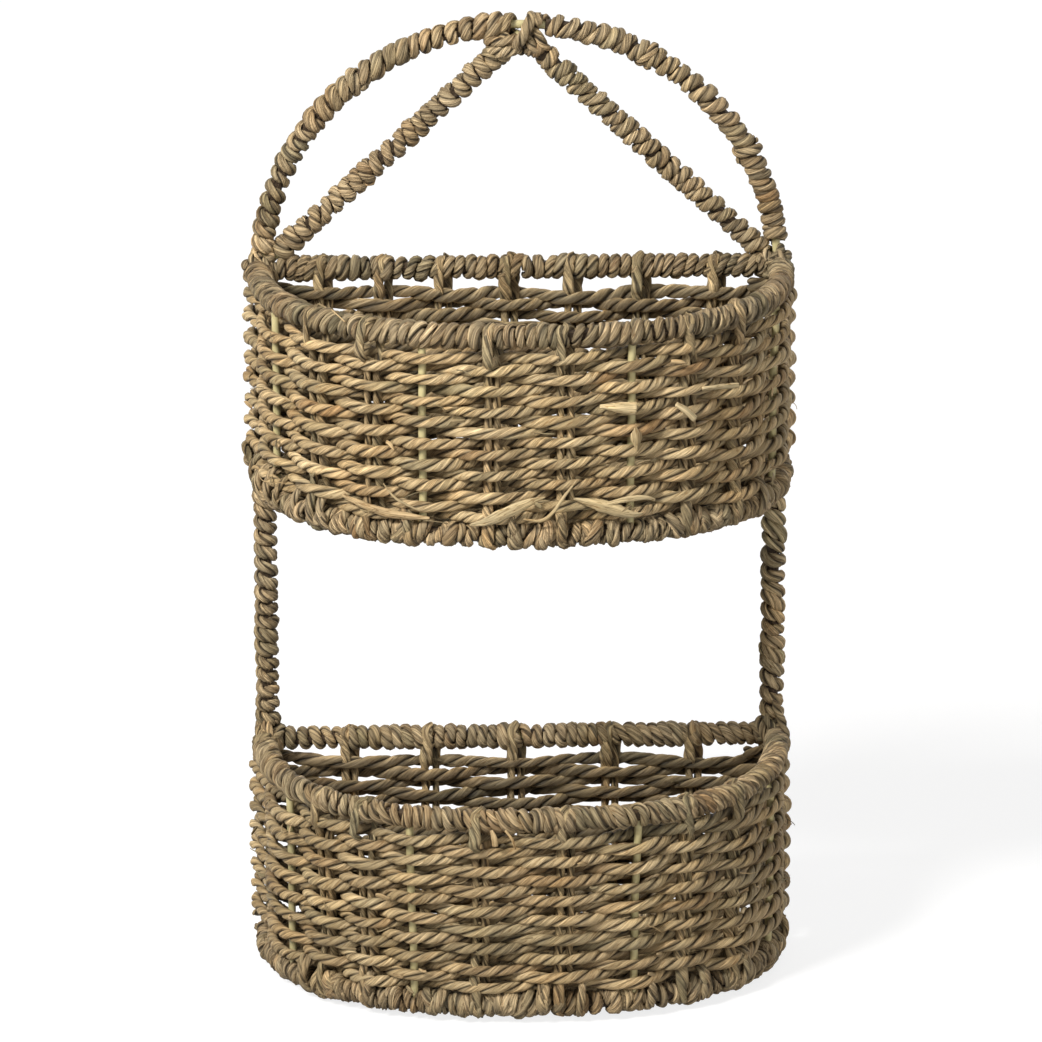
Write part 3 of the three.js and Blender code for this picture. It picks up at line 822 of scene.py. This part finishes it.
# Hand is 1 where the winding turns one way about the ring's path, and -1 the other way
for key, pitch, hand, lay, half_twist, bar_twist, rough, bright, seed in (
    (("upper", "rim"), 5.9, -1, -1, 14.0, 7.4, 1.4, 0.76, 31),
    (("upper", "base"), 6.9, -1, 1, 10.0, 9.0, 2.2, 1.0, 32),
    (("lower", "rim"), 5.9, 1, 1, 14.0, 7.4, 1.4, 0.97, 33),
    (("lower", "base"), 6.8, 1, -1, 10.0, 9.0, 2.0, 0.84, 34),
):
    path, out = ring_path(key)
    tier, level = key
    whip(f"{tier}_{level}_whipping", [f"{tier}_{level}_wrap"], path, out, pitch, hand, lay,
         half_twist, seed, rough, bright, size=3.0, squash=(0.9, 1.0), bar_twist=bar_twist)


# Weaving

TURNS = 16  # rows of weaving in a basket
# How far the cord passes in front of or behind the middle of what it goes round
POST_REACH, UPRIGHT_REACH, STAKE_REACH = 4.6, 4.4, 4.5
TOP_ROW = 11.4  # from the rim's wire down to the last row, in the middle of the front
TOP_ROW_TURNS = TURNS - 0.65  # turns of the cord up to that place
LEVEL_TURNS = TURNS - 0.4  # turns after which the cord's end runs level
HIDDEN = 52.0  # from the rim's wire down to the rows of the back that the front hides
BACK_STOUT = 1.12  # share of the cord's thickness in the rows of the back that show
HIDDEN_MORE = 0.42  # how much thicker it is in those that don't, where no light comes through
INSIDE_PAINTED_SHADE = 0.52  # how much painted shade darkens the cord where it passes inside the bow's stakes, behind the outer rows
POST_BULGE = (3.2, 9.0)  # how far the rows stand out at a post, and over what length
ROW_LIFT = 0.55  # how far off its height a row may pass a stake
LEVEL_ALONG, LEVEL_UP = 40.0, 22.0  # over what lengths the back's level rows turn into rising ones
WEAVE_TWIST = 12.2  # half twist of the weaving cord
WEAVE_TWIST_CHANGE = (0.32, 110.0)


def stakes_round(tier):
    """How far along the wall each upright piece stands, and the cord's reach there, in order."""
    wall = walls[tier]
    stakes = [(LEFT_POST_AT, POST_REACH), (RIGHT_POST_AT, POST_REACH)]
    for kind, reach in (
        ("upright_wire", UPRIGHT_REACH), ("front_stake", STAKE_REACH), ("back_stake", STAKE_REACH)
    ):
        for name in named(f"{tier}_{kind}"):
            stakes.append((wall.nearest(*ends_of(name)), reach))
    stakes.sort()
    return np.array([wall.travel[index] for index, _ in stakes]), [reach for _, reach in stakes]


def weave(tier, seed, first_row, bright):
    """The weaving cord of a basket, which goes round it in rows, in and out of the stakes."""
    rng = np.random.default_rng(seed)
    slack = np.random.default_rng(seed + 300)
    wall = walls[tier]
    travel, around = wall.travel, wall.around
    stake_at, reach = stakes_round(tier)
    left_post, right_post = travel[LEFT_POST_AT], travel[RIGHT_POST_AT]

    # In and out: which stake each sample has passed, and how far it is on the way to the next
    samples = np.arange(left_post, around * (TURNS - 1) + right_post + 14.0, 1.0)
    count = len(stake_at)
    passes = np.array([stake_at[k % count] + around * (k // count) for k in range(count * TURNS + 1)])
    signs = np.array([reach[k % count] * (1 if k % 2 else -1) for k in range(len(passes))])
    signs = signs * rng.uniform(0.92, 1.08, len(signs))
    first = np.clip(np.searchsorted(passes, samples, side="right") - 1, 0, len(passes) - 2)
    part = np.clip((samples - passes[first]) / (passes[first + 1] - passes[first]), 0, 1)
    part = (1 - np.cos(math.pi * part)) / 2
    offset = signs[first] * (1 - part) + signs[first + 1] * part
    here = np.mod(samples, around)
    for post in (left_post, right_post):
        gap = np.abs((here - post + around / 2) % around - around / 2)
        offset = offset + POST_BULGE[0] * np.exp(-((gap / POST_BULGE[1]) ** 2))

    # Height: a steady rise, with each row's unevenness and what all the rows share
    low = wall.bottom + first_row
    pitch = (wall.top - TOP_ROW - low) / TOP_ROW_TURNS
    lift = rng.uniform(-ROW_LIFT, ROW_LIFT, len(passes))
    shared = np.interp(here, travel, drift(rng, travel, 45.0))
    height = low + pitch * np.clip((samples - left_post) / around, 0, LEVEL_TURNS)
    height = height + lift[first] * (1 - part) + lift[first + 1] * part + shared
    height = height + 0.45 * drift(rng, samples, 21.0)
    # Behind is 1 on the back and 0 on the bow
    edges = [left_post, left_post + 10, right_post - 10, right_post]
    behind = np.interp(here, edges, [1, 0, 0, 1])
    height = height + 0.8 * behind * drift(slack, samples, 30.0)
    # On the back the lowest rows lie level, so that they start close to the base
    gone = np.mod(samples - left_post, around)
    settled = np.minimum(gone - (right_post - left_post), around - gone)
    settled = np.clip(settled / LEVEL_ALONG, 0, 1)
    risen = pitch * gone / around
    height = height - settled * risen * np.clip(1 - (height - low - risen) / LEVEL_UP, 0, 1)

    path, outward = wall.points(here, height, offset)
    # Painted shade on the bow's rows where they pass inside the stakes
    light = bright * (1 - INSIDE_PAINTED_SHADE * (1 - behind) * np.clip(-offset / STAKE_REACH, 0, 1))
    seen = np.clip((height - wall.top + HIDDEN) / 8.0, 0, 1)
    open_stout = BACK_STOUT + 0.13 * drift(slack, samples, 17.0)
    stout = 1 + behind * ((open_stout - 1) * seen + HIDDEN_MORE * (1 - seen))
    path, outward, light, stout = resample(1.4, path, outward, light, stout)
    half = len(path) // 2
    for number, span in enumerate((slice(0, half + 1), slice(half, len(path)))):
        strands = Strands(f"{tier}_weaving_{number + 1}")
        piece_rng = np.random.default_rng(seed + 100 + number)
        twist = WEAVE_TWIST * varied(piece_rng, lengths_along(path[span]), WEAVE_TWIST_CHANGE)
        cord(strands, piece_rng, path[span], outward[span], 2.95, "weave", squash=(0.98, 1.06),
             half_twist=twist, sides=FINE, shade=0.7, plump=0.3, fold=0.045, ridges=0.06,
             bright=light[span], stout=stout[span])
        strands.build("seagrass_weave", [f"{tier}_weaver"])


weave("upper", 41, 8.6, 0.79)
weave("lower", 42, 9.2, 0.68)


# Doubled cords: each is a loop over the rim and under the base

LOOP_REACH = 5.0  # from a ring's wire to the middle of the cord that goes round it
FIRST_ROW_REACH = 9.0  # from the wall to the cord where it also passes outside the first row
# Heights of a strand's corners as shares of the wall, and how far each is off the wall
INNER_STRAND = ((0.08, 5.0), (0.2, 1.2), (0.35, 0.2), (0.5, 0.0), (0.65, 0.2), (0.8, 1.2), (0.92, 4.6))
OUTER_STRAND = ((0.83, 1.4), (0.76, 0.4), (0.65, 0.3), (0.5, 0.1), (0.35, 0.3), (0.2, 1.4), (0.08, 5.0))


def half_turn(first_angle, gap, lean, height):
    """Corners where a loop goes round a ring, as side, away and height."""
    corners = []
    for step in range(4):
        turn = math.radians(first_angle - 40 * step)
        side = gap * (1 - 40 * step / 60) + lean / 2
        corners.append((side, LOOP_REACH * math.cos(turn), height + LOOP_REACH * math.sin(turn)))
    return corners


def stake_loop(rng, foot, head, out, along, over):
    """Path of a loop from the inside of the base up, over the rim and down the outside.
    Over is true where the outer half also passes outside the first row."""
    low, high = foot[2], head[2]
    gap = rng.uniform(2.3, 2.8)
    lean = rng.uniform(-1.2, 1.2)
    first = FIRST_ROW_REACH if over else LOOP_REACH
    outer = ((0.93, first * 0.9), (0.895, first), (0.865, first * 0.6)) + OUTER_STRAND
    up = [(gap + lean * (share - 0.5), -away, low + share * (high - low))
          for share, away in INNER_STRAND]
    down = [(-gap + lean * (share - 0.5), away, low + share * (high - low)) for share, away in outer]
    corners = np.array(
        up + half_turn(150, gap, lean, high) + down + half_turn(-30, -gap, -lean, low)
    )
    corners[:, :2] += rng.uniform(-0.35, 0.35, (len(corners), 2))
    share = (corners[:, 2] - low) / (high - low)
    line = foot[:2] + (head - foot)[:2] * share[:, None]
    flat = line + along[:2] * corners[:, :1] + out[:2] * corners[:, 1:2]
    return bend_through(np.hstack([flat, corners[:, 2:]]), 1.4)


for tier, place, seed in (
    ("upper", "front", 72), ("upper", "back", 71), ("lower", "front", 71), ("lower", "back", 70),
):
    rng = np.random.default_rng(seed)
    names = named(f"{tier}_{place}_stake")
    strands = Strands(f"{tier}_{place}_doubled_cords")
    wall = walls[tier]
    for name in names:
        nearest = wall.nearest(*ends_of(name))
        out = np.append(wall.out[nearest], 0.0) * (-1 if place == "back" else 1)
        foot = np.append(wall.base[nearest], wall.bottom)
        head = np.append(wall.rim[nearest], wall.top)
        over = place == "front" and -95 < foot[0] < -10
        path = stake_loop(rng, foot, head, out, np.cross(UP, out), over)
        middle_line = foot + (head - foot) * ((path[:, 2:] - foot[2]) / (head[2] - foot[2]))
        outward = unit(path - middle_line + out * 0.5)
        cord(strands, rng, path, outward, 3.0, "stake", squash=(0.68, 1.08), half_twist=15.0,
             shade=0.3, plump=0.5)
    strands.build("seagrass_stakes", names)


# Lashings

def tilted(degrees):
    """An axis in the plane of the back, so far from upright towards the right."""
    return [math.sin(math.radians(degrees)), 0, math.cos(math.radians(degrees))]


def coil(strands, rng, centre, axis, reach_in_plane, reach_through, turns, pitch, start, size=2.3,
         lay=-1):
    """A few turns of cord round an axis that lies in the plane of the back."""
    axis = unit(np.asarray(axis, float))
    plane = np.cross(axis, FRONT)
    turn = np.linspace(start, start + TAU * turns, int(60 * turns))
    along = pitch * (turn - turn.mean()) / TAU
    wobble = 1 + 0.05 * np.sin(1.7 * turn + rng.uniform(0, TAU))
    path = (
        np.asarray(centre)
        + plane * (reach_in_plane * wobble * np.cos(turn))[:, None]
        + FRONT * (reach_through * wobble * np.sin(turn))[:, None]
        + axis * along[:, None]
    )
    path, out = resample(1.4, path, circling(plane, FRONT, turn))
    cord(strands, rng, path, unit(out), size, "whip", squash=(0.85, 1.1), lay=lay, half_twist=8.5,
         shade=0.5)


# Each level's name, ring, and how far the middle of its knots lies above the ring's wire
LEVELS = (
    ("shoulder", ("upper", "rim"), 1.0), ("upper_base", ("upper", "base"), 1.0),
    ("lower_rim", ("lower", "rim"), 1.0), ("lower_base", ("lower", "base"), 2.0),
)
KNOT_SHIFTS = {("left", "upper_base"): (-3.5, -1.0, 5.0), ("left", "shoulder"): (-2.0, -1.0, -1.5)}
for side, hand in SIDES:
    for number, (level, ring, above) in enumerate(LEVELS):
        rng = np.random.default_rng(80 + 10 * side + number)
        strands = Strands(f"{hand}_{level}_cord_lashing")
        centre = np.array([side * (POST_X - 1.5), POST_Y - 2.0, rings[ring]["height"] + above])
        centre += KNOT_SHIFTS.get((hand, level), (0.0, 0.0, 0.0))
        for tilt, turns in ((52, 2.0), (-48, 1.6)):
            coil(strands, rng, centre, tilted(tilt), 8.2, 8.6, turns, 5.2, rng.uniform(0, TAU))
        strands.build("seagrass_lashing", [f"{hand}_{level}_lashing"])

rng = np.random.default_rng(95)
strands = Strands("crown_cord_lashing")
for x, drop, tilt, tall, deep, turns, pitch, size, start in (
    (2.4, 4.4, 112, 9.8, 8.6, 1.2, 4.8, 2.7, -1.1),
    (-9.2, 9.6, -14, 7.4, 6.8, 2.1, 5.8, 2.6, -0.6),
    (-4.5, 7.0, 30, 6.2, 5.4, 1.2, 5.0, 2.4, -0.9),
    (8.6, 9.2, 50, 6.4, 6.0, 1.6, 5.4, 2.5, -0.4),
):
    centre = [x, POST_Y, CROWN - drop]
    coil(strands, rng, centre, tilted(tilt), tall, deep, turns, pitch, start, size=size, lay=1)
strands.build("seagrass_lashing", ["crown_lashing"])

# Hasty extra turns on the arch, two on its right and one on its left
rng = np.random.default_rng(97)
strands = Strands("arch_extra_turns")
for share, turns, reach in ((0.157, 1.6, 6.0), (0.335, 1.3, 5.7), (0.72, 1.4, 5.7)):
    rise = math.pi * share
    centre = arch_points(np.array([rise]))[0]
    axis = [-math.sin(rise) + rng.uniform(-0.3, 0.3), 0, math.cos(rise)]
    coil(strands, rng, centre, axis, reach, reach, turns, 5.0, rng.uniform(0, TAU), size=2.2)
strands.build("seagrass_whipping")


# Rough binding of the bases, and loose ends of leaf

def wrap(strands, rng, wall, at, lift, high, deep, lean, turns, size, half_twist, lay):
    """One loose loop of cord round a base. Lift is how far its middle lies above the wire."""
    start = rng.uniform(0, TAU)
    turn = np.linspace(start, start + TAU * turns, int(50 * turns))
    spread = 1 + 0.06 * np.sin(2 * turn + rng.uniform(0, TAU))
    along = at + lean * np.sin(turn) + 1.6 * (turn - turn.mean()) / TAU
    level = wall.bottom + lift + high * spread * np.sin(turn)
    path, out = wall.points(along, level, deep * spread * np.cos(turn))
    path, away = resample(1.3, path, circling(out, UP, turn))
    cord(strands, rng, path, away, size, "whip", squash=(0.85, 1.1), lay=lay, half_twist=half_twist,
         shade=0.5, unevenness=1.3, plump=0.4)


def loose_ends(strands, rng, wall, count, first, last, side):
    """Short ends of leaf and thin fibres that stand a little off the rows, outside or inside."""
    for _ in range(count):
        at = rng.uniform(first, last)
        height = rng.uniform(wall.bottom + 7, wall.top - 9)
        heading = rng.choice([-1, 1])
        fibre = rng.random() < 0.55
        length = rng.uniform(5, 12) if fibre else rng.uniform(3.5, 7)
        rise = length * rng.uniform(-0.5, 0.5)
        stand = rng.uniform(1.0, 3.6) if fibre else rng.uniform(0.6, 2.0)
        curl = rng.uniform(-1.0, 1.0)
        path, out = wall.curve([
            (at, height, side * 6.4),
            (at + heading * length * 0.35, height + rise * 0.2 + curl, side * (7.6 + 0.3 * stand)),
            (at + heading * length * 0.7, height + rise * 0.6 + curl, side * (8.2 + 0.7 * stand)),
            (at + heading * length, height + rise, side * (8.2 + stand)),
        ])
        tone = (SAND, OLIVE, MOSS)[rng.integers(3)] * rng.uniform(0.45, 0.7)
        if fibre:
            width, thickness, profile = rng.uniform(0.4, 0.7), 0.4, (1.0, 1.0, 0.8, 0.4)
        else:
            width, thickness = rng.uniform(1.4, 2.8), 0.7
            profile = (0.9, 1.0, 1.0, rng.uniform(0.2, 0.9))
        leaf(strands, rng, path, out * side, width, thickness, tone, profile)


# Single leaves in front: places as x, height and away, then width, thickness, tone and profile
POINTED = (0.12, 0.7, 1.0, 1.0, 0.6, 0.1)
CUT = (0.8, 1.0, 1.0)
STRAYS = {
    "upper": (
        (((-30, 276.5, 7.6), (-21, 279, 9.2), (-10, 284.5, 9.8), (1, 289.5, 9), (8, 291.5, 7)),
         6.8, 0.9, CREAM * 0.62, POINTED),
        (((22, 290.5, 7.2), (31, 288, 9.2), (42, 284, 9.8), (51, 280.5, 9), (57, 280, 7)),
         6.8, 0.9, CREAM * 0.66, POINTED),
        (((34, 286, 9), (46, 289, 10), (57, 289.5, 10.2), (62, 287.5, 9.6)),
         3.2, 0.8, CREAM * 0.72, (0.3, 0.8, 1, 0.5)),
        (((-92, 286, 6.4), (-84, 283.5, 7.8), (-72, 280.5, 8.2), (-60, 279.5, 7.8),
          (-50, 279, 6.4)), 4.6, 2.6, SAND * 0.6, (0.3, 0.9, 1, 0.9, 0.3)),
        (((24, 300.5, 7.5), (18, 293.5, 10.5), (12, 284.5, 10.8), (6, 279.5, 9.6), (-3, 279.5, 7.4)),
         1.9, 0.9, OLIVE * 0.8, (0.3, 0.9, 1, 1, 0.6)),
        (((-72, 296, 7.5), (-66, 290, 10), (-60, 286.5, 10.2), (-54, 283, 8)),
         1.3, 0.7, OLIVE * 0.75, (0.4, 1, 1, 0.5)),
        (((35, 339.6, 7), (42, 339, 9), (52.2, 337.6, 9.8)),
         7, 2.4, CREAM * 0.8, (0.25, 0.6, 0.85, 1)),
        (((73, 337, 6.6), (77, 333.5, 8.4), (81.5, 328, 9)), 3.6, 1.4, CREAM * 0.7, CUT),
        (((52.4, 327.5, 8.4), (52.8, 321.5, 9.6), (53.2, 315, 8.8)),
         6, 1.4, OLIVE * 0.74, (0.15, 0.9, 1, 0.55, 0.15)),
        (((86, 343, 6.6), (95, 342.4, 8.2), (103, 341, 9)), 2.7, 1.2, CREAM * 0.7, CUT),
        (((-90, 379.5, 6), (-92.5, 382.5, 7), (-96, 385, 6.6)), 0.7, 0.5, SAND, (1, 1, 0.5)),
    ),
    "lower": (
        (((-19, 110, 7.6), (-17.5, 106, 9.4), (-17, 101.5, 9.8)),
         3.4, 1.4, SAND * 0.7, (0.6, 0.9, 1)),
        (((-12, 110, 7.6), (-8.5, 105, 9.6), (-7, 100, 9.6)),
         1.6, 0.9, SAND * 0.7, (0.8, 1, 0.6)),
    ),
}
BOW_HALF = 137.0  # half the width of the bow that the rough binding covers

for tier, seed in (("upper", 141), ("lower", 142)):
    rng = np.random.default_rng(seed)
    wall = walls[tier]
    strands = Strands(f"{tier}_base_rough_binding")
    bow = (wall.along(-BOW_HALF), wall.along(BOW_HALF))
    for _ in range(34):
        wrap(strands, rng, wall, at=rng.uniform(*bow), lift=rng.uniform(-0.3, 1.4),
             high=rng.uniform(5.0, 6.0), deep=rng.uniform(5.0, 5.8), lean=rng.uniform(-3.4, 3.4),
             turns=rng.uniform(1.1, 1.5), size=rng.uniform(2.3, 3.0),
             half_twist=rng.uniform(7.5, 16.0), lay=rng.choice([-1, 1]))
    for _ in range(11):
        wrap(strands, rng, wall, at=rng.uniform(*bow), lift=rng.uniform(3.2, 5.0),
             high=rng.uniform(8.5, 10.5), deep=rng.uniform(6.6, 7.6), lean=rng.uniform(-3.0, 3.0),
             turns=1.15, size=rng.uniform(1.9, 2.5), half_twist=rng.uniform(8.0, 16.0), lay=1)
    if tier == "lower":
        # A knot on the left of the basket, and a strand that hangs down its right corner
        turn = np.linspace(0, 1.3 * TAU, 60)
        path, out = wall.points(
            wall.along(-138.0) - 22.0 + 3.0 * np.cos(turn), 87.0 + 3.2 * np.sin(turn), 7.0 + 0.25 * turn
        )
        path, out = resample(1.3, path, out)
        cord(strands, rng, path, out, 2.3, "weave", half_twist=7.0, plump=0.3)
        line = bend_through([
            (POST_X + x, POST_Y - y, z)
            for x, y, z in ((1.0, 6.0, 133.0), (3.5, 8.0, 126.0), (6.5, 8.0, 117.0), (8.0, 6.0, 109.0),
                            (6.0, 6.0, 101.0))
        ])
        cord(strands, rng, line, facing(FRONT, line), 2.2, "whip", half_twist=8.0, plump=0.3)
    strands.build("seagrass_whipping")

    strands = Strands(f"{tier}_loose_ends")
    loose_ends(strands, rng, wall, 34, wall.along(-138.0), wall.along(138.0), 1)
    loose_ends(strands, rng, wall, 10, wall.along(138.0) + 30, wall.around - 20, -1)
    for corners, width, thickness, tone, profile in STRAYS[tier]:
        path, out = wall.front(corners)
        leaf(strands, rng, path, out, width, thickness, tone, profile)
    strands.build("seagrass_weave")


# Floors: rows of cord from side to side over doubled cords from front to back

FLOOR_BARS = np.linspace(-112, 112, 9)  # where the doubled cords lie
FLOOR_ROWS = 26
FLOOR_INSET = 5.5  # from a base ring's wire to the floor's edge
FLOOR_WAVE = 2.6  # how far a row goes over and under the doubled cords
DOUBLED_APART = 1.8  # half the distance between the two strands of a doubled cord


def floor(tier, seed):
    rng = np.random.default_rng(seed)
    ring = outlines[tier, "base"]
    flat = ring - FLOOR_INSET * outwards(ring)
    height = rings[tier, "base"]["height"]
    strands = Strands(f"{tier}_woven_floor")
    for number, y in enumerate(np.linspace(flat[:, 1].min() + 4.0, BAR - 7.2, FLOOR_ROWS)):
        near = np.abs(flat[np.abs(flat[:, 1] - y) < 1.2, 0])
        half = near.max() if len(near) else 0.0
        x = np.arange(-half, half, 1.0)
        if len(x) < 20:
            continue
        over = [1 if (number + bar) % 2 else -1 for bar in range(len(FLOOR_BARS))]
        wave = np.sin(np.interp(x, FLOOR_BARS, over) * math.pi / 2)
        path = np.stack([x, y + 0.5 * drift(rng, x, 30.0), height + FLOOR_WAVE * wave], axis=1)
        path = resample(2.0, path)[0]
        cord(strands, rng, path, facing(UP, path), 3.3, "weave", squash=(1.0, 1.12), half_twist=11.0,
             sides=FINE, shade=0.3, plump=0.3, bright=0.8)
    for bar in FLOOR_BARS:
        inside = flat[np.abs(flat[:, 0] - bar) < 2.0]
        y = np.arange(inside[:, 1].min(), BAR - 4.0, 1.0)
        for x in (bar - DOUBLED_APART, bar + DOUBLED_APART):
            path = np.stack([np.full(len(y), x), y, np.full(len(y), height)], axis=1)
            path = resample(1.6, path)[0]
            cord(strands, rng, path, facing(UP, path), 1.9, "stake")
    strands.build("seagrass_floor", [f"{tier}_floor"])


floor("upper", 71)
floor("lower", 72)


# Stage and light

GROUND_HALF = 40.0  # in metres
GROUND_GAP = 0.0002  # in metres, between the lowest point and the ground
ALBEDO = 0.3
GLOW = 0.8
WARM = (1.0, 0.985, 0.955)


def camera_share(tree):
    """1 for rays from the camera, mirrors and glass, and 0 for the rest."""
    rays = node(tree, "ShaderNodeLightPath").outputs
    share = maths(tree, "MAXIMUM", rays["Is Camera Ray"], rays["Is Glossy Ray"])
    return maths(tree, "MAXIMUM", share, rays["Is Transmission Ray"])


def ground_material():
    """A pale floor that takes a shadow, brought up to white where the camera sees it."""
    tree = new_material("ground_white")
    diffuse = node(tree, "ShaderNodeBsdfDiffuse", {"Color": (ALBEDO, ALBEDO, ALBEDO, 1)})
    strength = maths(tree, "MULTIPLY", camera_share(tree), GLOW)
    light = node(tree, "ShaderNodeEmission", {"Strength": strength})
    both = node(tree, "ShaderNodeAddShader", {0: diffuse.outputs["BSDF"], 1: light.outputs["Emission"]})
    node(tree, "ShaderNodeOutputMaterial", {"Surface": both.outputs["Shader"]})


ground_mesh = bpy.data.meshes.new("ground")
corners = [(x * GROUND_HALF, y * GROUND_HALF, 0) for x, y in ((-1, -1), (1, -1), (1, 1), (-1, 1))]
ground_mesh.from_pydata(corners, [], [(0, 1, 2, 3)])
ground_material()
ground_mesh.materials.append(materials["ground_white"])
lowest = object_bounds()[0].z
ground = put_in_scene("ground", ground_mesh)
ground.location.z = min(lowest, 0.0) - GROUND_GAP


def add_light(name, kind, place, energy, colour=(1, 1, 1), target=(0, 0, 0), **settings):
    """A light at a place that shines at a target. A sun's place gives only its direction."""
    data = bpy.data.lights.new(name, kind)
    data.energy = energy
    data.color = colour
    for key, value in settings.items():
        setattr(data, key, value)
    made = put_in_scene(name, data)
    made.location = place
    made.rotation_euler = (Vector(target) - Vector(place)).to_track_quat("-Z", "Y").to_euler()


add_light("key", "SUN", (-1.45, -1.5, 1.7), 2.1, WARM, angle=math.radians(12))
add_light("fill", "SUN", (0.95, -1.5, 0.3), 1.28, (1.0, 0.99, 0.97), angle=math.radians(50))
add_light("back", "SUN", (0.4, 1.6, 0.9), 0.45, angle=math.radians(50))
add_light("top", "SUN", (0.2, 0.5, 2.0), 0.3, angle=math.radians(40))
add_light("near", "AREA", (-0.5, -0.6, 0.9), 7.5, WARM, target=(0, 0, 0.34), size=0.3)

world = bpy.data.worlds.new("world")
bpy.context.scene.world = world
world.use_nodes = True
tree = world.node_tree
tree.nodes.clear()
soft = node(tree, "ShaderNodeBackground", {"Color": (1, 1, 1, 1), "Strength": 0.12})
white = node(tree, "ShaderNodeBackground", {"Color": (1, 1, 1, 1), "Strength": 1.0})
mix = node(tree, "ShaderNodeMixShader", {
    "Fac": camera_share(tree), 1: soft.outputs["Background"], 2: white.outputs["Background"],
})
node(tree, "ShaderNodeOutputWorld", {"Surface": mix.outputs["Shader"]})

bpy.context.scene.view_settings.view_transform = "Standard"
